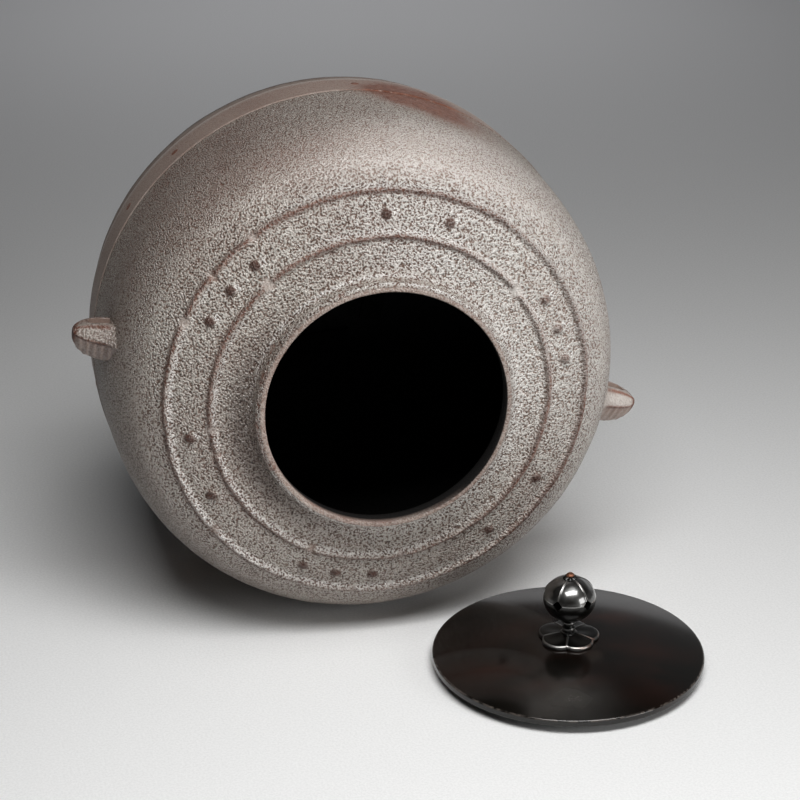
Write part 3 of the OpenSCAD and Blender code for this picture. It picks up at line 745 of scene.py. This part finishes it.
def weather_rim(s, flat, bevel, gutter):
    """Painted highlights on the rim's bevel, the collar and the gutter, and rust spots of the rim, collar
    and gutter.
    """
    rr, zz, clock, outside, share = s.rr, s.zz, s.clock, s.outside, s.share
    collar_highlight = outside * bell(np.hypot(rr - 58.4, zz - RIM_Z + 1.9), 0.6) * near(clock, 80, 40)
    gutter_highlight = bell(np.hypot(rr - 60.4, zz - shoulder_z(GUTTER_R) - 2.1), 0.9) * near(clock, 110, 65)
    # Painted light on the bevel, the collar's edge and the gutter, by clock angle
    lit = bevel * around(clock, BEVEL_SHADES) + 0.9 * collar_highlight + 0.9 * gutter_highlight
    lit = lit + 0.5 * gutter * near(clock, -50, 80)
    share["bloom"] = np.clip(share["bloom"] + outside * lit, 0, 1)
    share["pale"] = np.clip(share["pale"] + 0.6 * collar_highlight, 0, 1)
    spots = outside * near(clock, -156, 1.6) * bell(rr - MOUTH_R - 2.5, 1.6) * step(zz, 88, 90)
    lip = bell(rr - MOUTH_R, 0.5) * bell(zz - RIM_Z, 1.2) * step(wave(s.base, 9, 1.0), 0.0, 0.5)
    rust = np.clip(share["rust"] + 1.2 * spots + 0.6 * lip + 0.6 * bevel * near(clock, 192, 12), 0, 1)
    spotted = step(wave(s.base, 4.5, 7.0), 0.1, 0.4) * bell(np.hypot(rr - 60, zz - RIM_Z + 3), 5.0)
    share["rust"] = np.clip(rust + 0.8 * outside * (1 - flat) * near(clock, 160, 70) * spotted, 0, 1)


def grime_and_painted_shade(s, flat, bevel, gutter):
    """Painted shade in the gutter, under the rings and studs, at the bottom and on the sides turned from
    the light; darkening of the rim's flat and bevel by clock angle; a little brown with the rust.
    """
    rr, zz, clock, outside = s.rr, s.zz, s.clock, s.outside
    browned = near(clock, 126, 32) * s.share["fine"] * step(zz, -6, 0) * step(-zz, -70, -52)
    s.most(rust=0.45 * browned)
    # Painted shade: the gutter on the left, the bottom, the lower left and the left side, where light does
    # not reach
    by_gutter = bell(rr - 67, 4.5) * (zz < BELOW_RIM_Z) * near(clock, 192, 42) * (zz > 60)
    below = 0.35 * near(clock, -90, 60) * step(rr, 60, 75)
    lower_left = 0.6 * near(clock, 218, 45) * step(-zz, -75, -55)
    left = 0.18 * near(clock, 178, 30) * step(rr, 66, 72)
    shade_and_dirt = flat * around(clock, FLAT_SHADES) + 0.5 * bevel * near(clock, 142, 28)
    shade_and_dirt = shade_and_dirt + gutter * near(clock, 198, 48)
    shade_and_dirt = shade_and_dirt + outside * (0.6 * by_gutter + below + lower_left + left) + 0.12 * browned
    # The painted shade lines under the rings and studs join in
    s.share["shade_and_dirt"] = np.clip(shade_and_dirt + s.share["under"], 0, 0.95)


def soot_inside(s):
    """Soot on the whole inside, which creeps up to the rim on the right."""
    inside = np.where(s.outside, 0, step(-s.zz, -RIM_Z + 0.1, -RIM_Z + 0.6))
    creep = step(-s.rr, -MOUTH_R - 0.8, -MOUTH_R - 0.3) * step(s.zz, 80, 85)
    creep = creep * np.clip(near(s.clock, 30, 70) + near(s.clock, -20, 50), 0, 1)
    s.share["soot"] = np.clip(inside + creep, 0, 1)


def kettle_body():
    """Upper casting: band, flank, ringed shoulder, gutter, collar and rim."""
    s = Skin()
    raised_rings(s)
    ring_patches(s)
    studs(s)
    uneven(s)
    flat, bevel, gutter = rim_zones(s)
    weather_flank(s, flat)
    grime_and_painted_shade(s, flat, bevel, gutter)
    weather_rim(s, flat, bevel, gutter)
    soot_inside(s)
    points = turned(s.line, s.angles, s.lift, s.slope)
    made = mesh_object("kettle_casting", points, KETTLE, {key: s.share[key] for key in IRON_SHARES})
    dress(made, iron, "kettle", "iron_skin", "kettle_body")


# Lower casting

# Flat discs of about this radius close the middle of the foot and of the floor
HUB_R = 1.5
SPIGOT_H = 6.0
SPIGOT_WALL = 2.5


def base_pan():
    """Lower casting, a bowl with a flat foot."""
    foot_z = FOOT_CUT - BOTTOM_DROP
    floor_z = foot_z + BASE_WALL
    spigot_r = flank_r(SEAM_Z, BODY_WALL) - SPIGOT_GAP
    top_z, wall_z = SEAM_Z + SPIGOT_H, SEAM_Z - SPIGOT_H
    points = [(0.4, foot_z)] + oval_arc((flank_r(foot_z), foot_z), (flank_r(SEAM_Z), SEAM_Z))
    points += [(spigot_r, SEAM_Z), (spigot_r, top_z), (spigot_r - SPIGOT_WALL, top_z)]
    wall_r, floor_r = flank_r(wall_z, BASE_WALL), flank_r(floor_z, BASE_WALL)
    points += oval_arc((wall_r, wall_z), (floor_r, floor_z), BASE_WALL) + [(0.4, floor_z)]
    line = soften(resample(points, 0.2), 2.0)
    slope = normals_of(line)
    r, z = line.T
    outside = (slope[:, 1] < 0.3) & (z < SEAM_Z + 0.5) & ((slope[:, 0] > 0.1) | (z < foot_z + 2))
    rows = spread(np.where(outside, 1.0, 0.35) + bell(z - SEAM_Z, 1.0), 130)
    rows = rows[r[rows] > HUB_R]
    angles = np.arange(0, 360, 1.2)
    line, slope, outside = line[rows], slope[rows], outside[rows][:, None]
    height = line[:, 1:]
    base = turned(line, angles)
    waves = 0.25 * wave(base, 26, 2.0) + 0.1 * wave(base, 8, 6.0)
    lift = outside * step(np.abs(height - SEAM_Z), 0.5, 3) * (waves - 0.4 * (height < foot_z + 3))
    shares = {"soot": np.where(outside, 0.0, 1.0), "clean": step(height, SEAM_Z - 16, SEAM_Z - 4)}
    made = mesh_object("lower_casting", turned(line, angles, lift, slope), KETTLE, shares,
                       capped_faces(*lift.shape))
    dress(made, fired, "kettle", "fired_iron", "base_pan")


# Lugs

# Section of a lug, from its back rim over the front: (up, towards the mouth), as shares of its height
# above or below the middle line and of its half depth
LUG_SECTION = ((1.0, -0.95), (1.02, -0.3), (1.02, 0.34), (0.86, 0.52), (0.3, 0.74), (-0.14, 0.90),
               (-0.24, 0.88), (-0.60, 0.60), (-0.93, 0.20), (-1.0, -0.1), (-0.75, -0.55), (0.2, -0.95))
LUG_UP = 5.8
LUG_DOWN = 12.6
LUG_HALF_DEEP = 8.3
LUG_SINK = 4.0
LUG_TIP_INSET = 0.15
LUG_RINGS = 56
LUG_COLUMNS = 96
EYE_FROM = 0.5
EYE_TO = 11.0
EYE_HALF_W = 2.8
EYE_BACK = 1.8
# Edges that bend more than this stay crisp where a hole is cut
CRISP_ANGLE = 38


def round_section(corners, count):
    """A closed soft curve through the corners, by splines."""
    p = np.array(corners)
    points = []
    for k in range(count):
        i, t = divmod(k * len(p) / count, 1)
        a, b, c, d = (p[(int(i) + o) % len(p)] for o in (-1, 0, 1, 2))
        points.append(0.5 * (2 * b + (c - a) * t + (2 * a - 5 * b + 4 * c - d) * t ** 2
                             + (3 * b - a - 3 * c + d) * t ** 3))
    return np.array(points)


def block(corners_low, corners_high):
    """A closed block between two rings of corners, used to cut a hole."""
    n = len(corners_low)
    faces = [list(range(n))[::-1], list(range(n, 2 * n))]
    faces += [[i, (i + 1) % n, n + (i + 1) % n, n + i] for i in range(n)]
    return corners_low + corners_high, faces


def cut_holes(obj, cutters, place):
    """Takes blocks out of a closed mesh, and keeps the new edges crisp."""
    points, faces = [], []
    for block_points, block_faces in cutters:
        faces += [[i + len(points) for i in f] for f in block_faces]
        points += block_points
    tool = mesh_object("cutter", points, place, faces=faces)
    modifier = obj.modifiers.new("holes", "BOOLEAN")
    modifier.operation = "DIFFERENCE"
    modifier.solver = "EXACT"
    modifier.object = tool
    bpy.context.view_layer.update()
    done = bpy.data.meshes.new_from_object(obj.evaluated_get(bpy.context.evaluated_depsgraph_get()))
    obj.modifiers.clear()
    obj.data = done
    bpy.data.objects.remove(tool)
    done.set_sharp_from_angle(angle=math.radians(CRISP_ANGLE))


def lug(name, node, side):
    """A shell-like lug; side is 1 at the right and -1 at the left, where painted shade makes it darker."""
    at_right = side > 0
    out, along = ray(KETTLE_ROLL + (0 if at_right else 180))
    upward, front = side * along, np.array([0.0, 0.0, 1.0])
    root = flank_r(LUG_RISE)
    v, f = round_section(LUG_SECTION, LUG_COLUMNS).T
    front_face = step(v, -0.28, -0.16) * step(f, 0.1, 0.4)
    lower = step(-v, 0.2, 0.34) * step(f, -0.3, 0.1)
    crease = bell(v + 0.2, 0.07) * (f > 0.3)
    lip = bell(v - 0.86, 0.16) * step(f, 0.3, 0.45)
    rim = bell(v - 1.0, 0.1) * step(-f, 0.1, 0.4)
    rusty = np.clip(0.9 * crease + lip + 0.6 * rim, 0, 1)
    worn_and_lit = np.maximum(front_face, 0.9 * step(v, 0.7, 0.9))
    # Painted shade on the sides away from the worn and lit faces
    sides = 0.2 * (1 - np.maximum(front_face, lower))
    rings, rust, shade = [], [], []
    for s in np.sin(np.linspace(0, 1, LUG_RINGS) * math.pi / 2):
        taper = max(1e-3, (1 - s ** 2.6) ** (1 / 2.2))
        rise = LUG_UP * max(1e-4, 1 - s ** 2.4) ** 0.5
        fall = LUG_DOWN * max(1e-4, 1 - s ** 2.8) ** 0.5
        x = root - LUG_SINK + s * (LUG_REACH + LUG_SINK - LUG_TIP_INSET)
        height = np.where(v > 0, rise, fall) * v - (0.2 + 1.2 * s if at_right else 0.2)
        flare = 1 + 0.6 * math.exp(-(s / 0.2) ** 2) * step(f, 0.0, 0.5)
        depth = f * LUG_HALF_DEEP * taper * (1 - 0.15 * s) * flare
        # Growth lines that fan out on the lower facet
        lines = 0.45 * np.sin(1.9 * x - 4.0 * v) * lower * taper
        rings.append(out * x + upward * (height + lines)[:, None]
                     + front * (LUG_RISE + depth + lines)[:, None])
        rust.append(rusty * step(s, 0.15, 0.3) + step(s, 0.86, 0.96))
        # Painted shade on the lower facet, lighter on its growth lines, and in the crease; darker towards
        # the tip
        shaded_grooves = (0.3 if at_right else 0.55) * lower * (1 - 0.8 * step(lines, 0.0, 0.3))
        shade.append(shaded_grooves + sides + 0.3 * crease + 0.4 * step(s, 0.93, 1.0))
    points = np.array(rings)
    swell = 0.25 * wave(points, 3.0, side * 2.0) + 0.12 * wave(points, 1.4, 5.0)
    points = points + swell[..., None] * (points - points.mean(axis=1, keepdims=True)) / LUG_DOWN
    # The right lug's faces get more painted light, and the left lug more painted shade
    shares = {"grain": (0.2 if at_right else 0.6) * worn_and_lit, "rust": np.array(rust),
              "pale": (0.7 if at_right else 0.4) * worn_and_lit, "shade_and_dirt": np.array(shade) + (0 if at_right else 0.3)}
    made = mesh_object(name, points, KETTLE, shares, capped_faces(LUG_RINGS, LUG_COLUMNS))
    eye = arc((EYE_TO - EYE_HALF_W, 0), EYE_HALF_W, -90, 90, 16)
    eye += [(EYE_FROM, EYE_HALF_W), (EYE_FROM, -EYE_HALF_W)]
    hole = [out * (root + x) + front * (LUG_RISE + y - EYE_BACK) for x, y in eye]
    reach = upward * 2 * LUG_DOWN
    cut_holes(made, [block([h - reach for h in hole], [h + reach for h in hole])], KETTLE)
    dress(made, iron, "kettle", "iron_skin", node)


# Core chaplets

CHAPLET_PAIRS = 6
CHAPLET_SPREAD = 16.0
CHAPLET_FIRST = 30.0
CHAPLET_DEPTH = 2.6
CHAPLET_PROUD = 0.2
CHAPLET_COLUMNS = 28
# Rings of a chaplet from its inner end to its tip: depth in the band, share of its radius
CHAPLET_RINGS = ((CHAPLET_DEPTH, 1.0), (0.15, 1.0), (0.0, 0.97), (-0.12, 0.85), (-0.18, 0.6),
                 (-CHAPLET_PROUD, 0.3))


def chaplets():
    """Iron pegs that show as small rusty nubs in the band."""
    z = -BAND_DROP - BAND_W / 2
    out_r = flank_r(-BAND_DROP) + BAND_PROUD - BAND_W / 2 * math.tan(math.radians(BAND_TAPER))
    points, faces = [], []
    for i, side in ((i, side) for i in range(CHAPLET_PAIRS) for side in (-1, 1)):
        middle = CHAPLET_FIRST + KETTLE_ROLL + 360 / CHAPLET_PAIRS * i
        out, along = ray(middle + side * CHAPLET_SPREAD / 2)
        faces += capped_faces(len(CHAPLET_RINGS), CHAPLET_COLUMNS, len(points))
        for depth, share in CHAPLET_RINGS:
            for b in np.linspace(0, 2 * math.pi, CHAPLET_COLUMNS, endpoint=False):
                x, y = math.cos(b), math.sin(b)
                ragged = 1 - 0.10 * (1 + noise.noise((3 * x, 3 * y, 7.0 * i + side)))
                radius = CHAPLET_R * share * ragged
                points.append(out * (out_r - depth) + along * radius * x + np.array([0, 0, z + radius * y]))
    made = mesh_object("chaplet_nubs", points, KETTLE, {"grain": 0.2, "rust": 1.0}, faces)
    dress(made, iron, "kettle", "chaplet_iron", "core_chaplets")


# Lid

LID_FRONT = -107.0
FIRST_RIB = LID_FRONT + 45.0
SEAT_TURN = -3.0
PETALS = 5
PETAL_STEP = 360 / PETALS
PETAL_CIRCLE_R = 6.3
PETAL_R = 8.0
SEAT_H = 2.6
SEAT_ROLL = 0.9
NECK_L = 7.1
KNOB_R = 12.0
KNOB_HALF_H = 10.6
KNOB_CUT = 0.4
KNOB_WALL = 1.2
SEAM_RISE = 1.2
LOZENGE_HALF = 2.5
RIB_PROUD = 0.35
RIB_HALF_W = 0.30
ROSETTE_R = 3.4
ROSETTE_T = 1.3
ROSETTE_BEADS = 8
PIN_R = 1.5
PIN_TIP_H = 1.6
PIN_HEAD_R = 2.0
WASHER_T = 1.2
# Keeps the visible lid inside the box of the solids
BOX_INSET = 0.03

PAD_Z = APEX_Z - LID_WALL
SEAT_TOP_Z = APEX_Z + SEAT_H
KNOB_Z = SEAT_TOP_Z + NECK_L + KNOB_HALF_H - KNOB_CUT
KNOB_END = KNOB_HALF_H - KNOB_CUT
ROSETTE_Z = KNOB_Z + KNOB_END
TIP_Z = ROSETTE_Z + ROSETTE_T


def lid_top_z(r):
    """Height of the lid's domed top."""
    return APEX_Z - DOME_R + np.sqrt(DOME_R ** 2 - np.asarray(r, float) ** 2)


def turned_piece(points, columns, rows, spacing, rounding, weight=None):
    """Outline points, their normals and the angles of a turned form."""
    line = soften(resample(points, spacing), rounding)
    picks = spread(np.ones(len(line)) if weight is None else weight(line), rows)
    return line[picks], normals_of(line)[picks], np.arange(0, 360, 360 / columns)


# Brown clouds in the lid's patina: middle and half-widths along x and y
RED_CLOUDS = ((-30, -16, 17, 12), (29, -20, 12, 18), (-6, -31, 18, 7), (10, 15, 22, 12))


def lid_plate():
    """Domed plate with its locating ring, brown clouds in its patina, and a grey painted reflection at its
    front, where the patina is also rougher.
    """
    inner_r = RING_R - RING_WALL
    under = [(r, lid_top_z(r) - LID_WALL) for r in np.linspace(PIN_HOLE_R, inner_r, 40)]
    top = [(r, float(lid_top_z(r))) for r in np.linspace(DOME_BASE_R, PIN_HOLE_R, 60)]
    edge_r = LID_R - BOX_INSET
    points = under + [(inner_r, 0), (RING_R, 0), (RING_R, RING_DROP), (edge_r, RING_DROP)]
    points += [(edge_r, RIM_TOP_Z - LID_BEVEL)] + top
    line, _, angles = turned_piece(
        points, 288, 150, 0.1, 1.5,
        weight=lambda p: 0.4 + 3 * bell(p[:, 0] - LID_R, 1.0) + bell(p[:, 0] - RING_R, 2))
    r, z = line.T
    shape = turned(line, angles)
    edge = bell(np.hypot(r - LID_R + 0.25, z - RIM_TOP_Z + 0.25), 0.45)[:, None]
    x, y = shape[..., 0], shape[..., 1]
    # Where the painted reflection lies on the lid's front
    haze_and_reflection = np.exp(-((x + 11) / 15) ** 2 - ((y + 48) / 13) ** 2)
    red = sum(np.exp(-((x - a) / w) ** 2 - ((y - b) / h) ** 2) for a, b, w, h in RED_CLOUDS)
    made = mesh_object("lid_disc", shape, LID, {"edge": edge, "haze_and_reflection": haze_and_reflection, "red": np.clip(red, 0, 1)})
    dress(made, bronze, "lid", "lid_bronze", "lid_plate")


def flower_seat():
    """Plum-blossom seat: five shallow petals, a raised line between each two, and a rolled rim."""
    angles = np.arange(0, 360, 1.0)
    off = (angles - LID_FRONT - SEAT_TURN) % PETAL_STEP - PETAL_STEP / 2
    a = np.radians(off)
    rim = PETAL_CIRCLE_R * np.cos(a) + np.sqrt(PETAL_R ** 2 - (PETAL_CIRCLE_R * np.sin(a)) ** 2)
    start = PIN_R + 1.2
    rows, edge = [], []
    between = PETAL_STEP / 2 - np.abs(off)
    for u in np.linspace(0, 1, 40):
        r = start + u * (rim - SEAT_ROLL - start)
        line = bell(np.radians(between) * r, 0.38) * step(u, 0.08, 0.3)
        hollow = 0.35 * math.sin(math.pi * min(1, u * 1.1)) * np.cos(np.radians(off) * 2.5) ** 2
        z = lid_top_z(r) + SEAT_H - 0.75 * u ** 2 - hollow + 0.35 * line
        rows.append(np.column_stack([r, z]))
        # Pale raised lines between the petals: worn bronze with a painted highlight
        edge.append(0.45 * line)
    crest = rows[-1][:, 1]
    for t in np.linspace(0.15, 1, 8):
        turn = t * math.pi / 2
        rows.append(np.column_stack([rim - SEAT_ROLL + SEAT_ROLL * math.sin(turn),
                                     crest - SEAT_ROLL * (1 - math.cos(turn))]))
        # Painted highlight on the rolled rim, strongest on the front petals
        edge.append((1 - 0.4 * abs(2 * t - 1)) * (0.25 + 0.75 * near(angles, LID_FRONT + 10, 60)))
    for share in (1.0, 0.6, start / 12):
        rows.append(np.column_stack([rim * share, lid_top_z(rim * share) + 0.01]))
        edge.append(np.zeros(len(angles)))
    rows = np.array(rows)
    made = mesh_object("plum_seat", polar(rows[..., 0], rows[..., 1], angles), LID,
                       {"edge": np.array(edge), "warm": near(angles, -36, 40)})
    dress(made, dull_gunmetal, "lid", "knob_bronze", "flower_seat")


def neck():
    """Neck of the knob, with two beads."""
    z0 = SEAT_TOP_Z
    points = [(PIN_HOLE_R, z0 - 0.1), (4.0, z0 - 0.1), (3.4, z0 + 0.4), (2.4, z0 + 0.7)]
    points += arc((1.7, z0 + 2.1), 1.4, -60, 60, 10) + [(2.2, z0 + 3.6)]
    points += arc((1.7, z0 + 5.1), 1.4, -60, 60, 10)
    points += [(2.4, z0 + 6.6), (3.2, z0 + NECK_L), (PIN_HOLE_R, z0 + NECK_L)]
    line, _, angles = turned_piece(points, 72, 70, 0.05, 2.0)
    # Pale bead crests: worn bronze with a painted highlight
    made = mesh_object("beaded_neck", turned(line, angles), LID,
                       {"edge": 0.35 * bell(line[:, :1] - 3.2, 0.2)})
    dress(made, dull_gunmetal, "lid", "knob_bronze", "knob_neck")


def knob_skin(inset, low, high, steps=60):
    """Points of the knob's oval between two heights."""
    return [((KNOB_R - inset) * math.sqrt(max(0, 1 - (z / (KNOB_HALF_H - inset)) ** 2)), z)
            for z in np.linspace(low, high, steps)]


def lozenges():
    """Blocks that pierce the knob where its ribs meet the seam."""
    blocks = []
    for i in range(PETALS):
        out, side = ray(FIRST_RIB + PETAL_STEP * i)
        diamond = [side * LOZENGE_HALF * c + np.array([0, 0, KNOB_Z + SEAM_RISE + LOZENGE_HALF * d])
                   for c, d in ((1, 0), (0, 1), (-1, 0), (0, -1))]
        blocks.append(block([d + out * 5 for d in diamond], [d + out * 14 for d in diamond]))
    return blocks


def knob_shell(name, node, low, high, ribbed):
    """One hollow half of the knob, with lozenges cut where the ribs meet the seam."""
    ceiling = KNOB_END - KNOB_WALL
    outer = knob_skin(0, low, high)
    inner = knob_skin(KNOB_WALL, max(low, -ceiling), min(high, ceiling))
    inner = [(max(r, PIN_HOLE_R), z) for r, z in inner][::-1]
    if ribbed:
        points = outer + [(PIN_HOLE_R, high), (PIN_HOLE_R, ceiling)] + inner
    else:
        points = outer + inner + [(PIN_HOLE_R, -ceiling), (PIN_HOLE_R, low)]
    line, slope, angles = turned_piece(points, 300, 110, 0.05, 2.0)
    r, z = line[:, :1], line[:, 1:]
    outside = ((slope * line).sum(axis=1) > 0)[:, None]
    lift, ribs, lip = np.zeros((3, len(line), len(angles)))
    if ribbed:
        for i in range(PETALS):
            across = np.radians(turn_from(angles[None, :], FIRST_RIB + PETAL_STEP * i)) * r
            ribs = np.maximum(ribs, bell(across, RIB_HALF_W) * outside * step(z, low + 1.0, low + 2.0))
        lift = RIB_PROUD * ribs + 0.12 * outside * bell(z - low, 0.7)
        lip = outside * bell(z - low - 0.1, 0.22)
    shape = turned(line, angles, lift, slope) + np.array([0, 0, KNOB_Z])
    # Pale ribs and seam lip: worn bronze with a painted highlight
    made = mesh_object(name, shape, LID,
                       {"edge": np.clip(0.5 * ribs + 0.6 * lip, 0, 1), "warm": near(angles, -40, 20)})
    cut_holes(made, lozenges(), LID)
    dress(made, gunmetal if ribbed else dull_gunmetal, "lid", "knob_bronze", node)


def rosette():
    """A collar of eight beads round the pin."""
    points = [(PIN_HOLE_R, 0), (ROSETTE_R, 0), (ROSETTE_R, 0.6), (ROSETTE_R - 0.9, ROSETTE_T),
              (PIN_HOLE_R, ROSETTE_T)]
    line, _, angles = turned_piece(points, 192, 60, 0.03, 4.0)
    line_r, line_z = line[:, :1], line[:, 1:]
    gaps = 1 - np.abs(np.cos(np.radians(angles - LID_FRONT) * ROSETTE_BEADS / 2))[None, :]
    r = line_r * (1 - 0.16 * gaps * step(line_r, PIN_HOLE_R, ROSETTE_R))
    z = np.maximum(0, line_z - 0.35 * gaps * step(line_z, 0.3, 0.9) * step(line_r, 1.9, 2.5))
    made = mesh_object("bead_rosette", polar(r, z + ROSETTE_Z, angles), LID, {"edge": 0.0})
    dress(made, dull_gunmetal, "lid", "knob_bronze", "knob_rosette")


def pin():
    """Copper pin: hammered tip above, clenched head below the washer."""
    tail = PAD_Z - WASHER_T
    points = [(0.05, tail - WASHER_T), (PIN_R, tail - WASHER_T), (PIN_HEAD_R, tail), (PIN_R, tail)]
    points += [(PIN_R, TIP_Z), (PIN_HEAD_R, TIP_Z + 0.1), (PIN_HEAD_R * 0.95, TIP_Z + 0.7)]
    points += [(PIN_HEAD_R * 0.65, TIP_Z + 1.35), (0.05, TIP_Z + PIN_TIP_H)]
    line, slope, angles = turned_piece(points, 64, 110, 0.05, 2.5)
    dents = -0.22 * np.abs(wave(turned(line, angles), 1.3, 3.0))
    lift = dents * step(line[:, 1:], TIP_Z, TIP_Z + 0.5) * step(line[:, :1], 0.2, 0.8)
    made = mesh_object("copper_pin", turned(line, angles, lift, slope), LID)
    dress(made, copper, "lid", "copper", "knob_pin")


kettle_body()
base_pan()
lug("shell_lug_right", "lug_right", 1)
lug("shell_lug_left", "lug_left", -1)
chaplets()
lid_plate()
flower_seat()
neck()
knob_shell("knob_bowl", "knob_lower", -KNOB_END, SEAM_RISE, False)
knob_shell("knob_cap", "knob_upper", SEAM_RISE, KNOB_END, True)
rosette()
pin()

# Hidden pieces keep their solids and get a look
hidden_looks = {"lacquer_beds": lacquer, "pin_washer": bronze}
hidden_looks.update({f"sound_plate_{i}": soot for i in range(1, 6)})
for name, look in hidden_looks.items():
    materials = frame["nodes"][name].data.materials
    materials.clear()
    materials.append(look)

# Stage, light and camera


FLOOR_HALF = 6.0
ROOM_GLOW = 0.012
SWEEP_GLOW = 0.5
SIDE_GLOW = 0.11
OVERHEAD_GLOW = 0.2


def floor():
    """Plain pale floor."""
    mesh = bpy.data.meshes.new("floor")
    corners = [(FLOOR_HALF * x, FLOOR_HALF * y, 0) for x, y in ((-1, -1), (1, -1), (1, 1), (-1, 1))]
    mesh.from_pydata(corners, [], [(0, 1, 2, 3)])
    made = in_scene("floor", mesh)
    mesh.materials.append(floor_material())


def softbox(name, at, aim, size, power):
    """A rectangular lamp that faces the point aim."""
    lamp = bpy.data.lights.new(name, "AREA")
    lamp.shape = "RECTANGLE"
    lamp.size, lamp.size_y = size
    lamp.energy = power
    return in_scene(name, lamp, at, Vector(aim) - Vector(at))


def camera():
    """The photo's camera."""
    lens = bpy.data.cameras.new("photo_camera")
    lens.sensor_width = SENSOR_MM
    lens.lens = SENSOR_MM * FOCAL_PIXELS / PHOTO_PIXELS
    bpy.context.scene.camera = in_scene("photo_camera", lens, CAMERA_AT, CAMERA_FORWARD)


def room():
    """Dim studio for reflections: a pale sweep behind the floor, a glow to its right and one overhead."""
    world = bpy.data.worlds.new("room")
    bpy.context.scene.world = world
    world.use_nodes = True
    n = Nodes(world.node_tree)
    generated = n.add("ShaderNodeTexCoord").outputs["Generated"]
    x, y, z = n.add("ShaderNodeSeparateXYZ", Vector=generated).outputs
    above = n.math("SUBTRACT", z, n.times(x, 0.22))
    from_middle = n.math("ABSOLUTE", n.math("SUBTRACT", x, 0.12))
    sweep = n.times(n.range(z, -0.02, 0.10, 0.3 * SWEEP_GLOW, SWEEP_GLOW),
                    n.range(above, 0.14, 0.17, 1.0, 0.0), n.range(y, 0.2, 0.7, 0.15, 1.0))
    aside = n.times(n.range(x, 0.15, 0.35, 0.0, SIDE_GLOW), n.range(y, 0.2, 0.5),
                    n.range(z, 0.6, 0.75, 1.0, 0.0))
    over = n.times(n.range(z, 0.62, 0.74, 0.0, OVERHEAD_GLOW), n.range(z, 0.90, 0.98, 1.0, 0.0),
                   n.range(y, 0.25, 0.45), n.range(from_middle, 0.08, 0.22, 1.0, 0.0))
    glow = n.math("ADD", n.math("ADD", n.math("ADD", sweep, aside), over), ROOM_GLOW)
    background = n.tree.nodes["Background"]
    n.put(background.inputs["Strength"], glow)
    n.put(background.inputs["Color"], (1.0, 1.0, 1.01, 1.0))
    world.cycles_visibility.diffuse = False


floor()
key = softbox("top_softbox", (0.05, -0.60, 1.10), (0.05, -0.50, 0.0), (1.0, 0.45), 6.75)
key.data.spread = math.radians(110)
softbox("right_softbox", (0.97, -1.07, 0.41), (0.05, -0.05, 0.10), (0.6, 0.6), 6.4)
accent = softbox("top_accent", (0.10, -0.19, 0.75), (0.0, -0.02, 0.2), (0.4, 0.3), 0.098)
accent.data.spread = math.radians(50)
wash = softbox("back_wash", (0.2, 1.5, 1.2), (0.2, 1.05, 0.0), (0.8, 0.4), 0.81)
wash.data.spread = math.radians(60)
wash.visible_glossy = False
wash.data.color = (0.96, 0.965, 1.0)
camera()
room()
bpy.context.scene.view_settings.view_transform = "Standard"
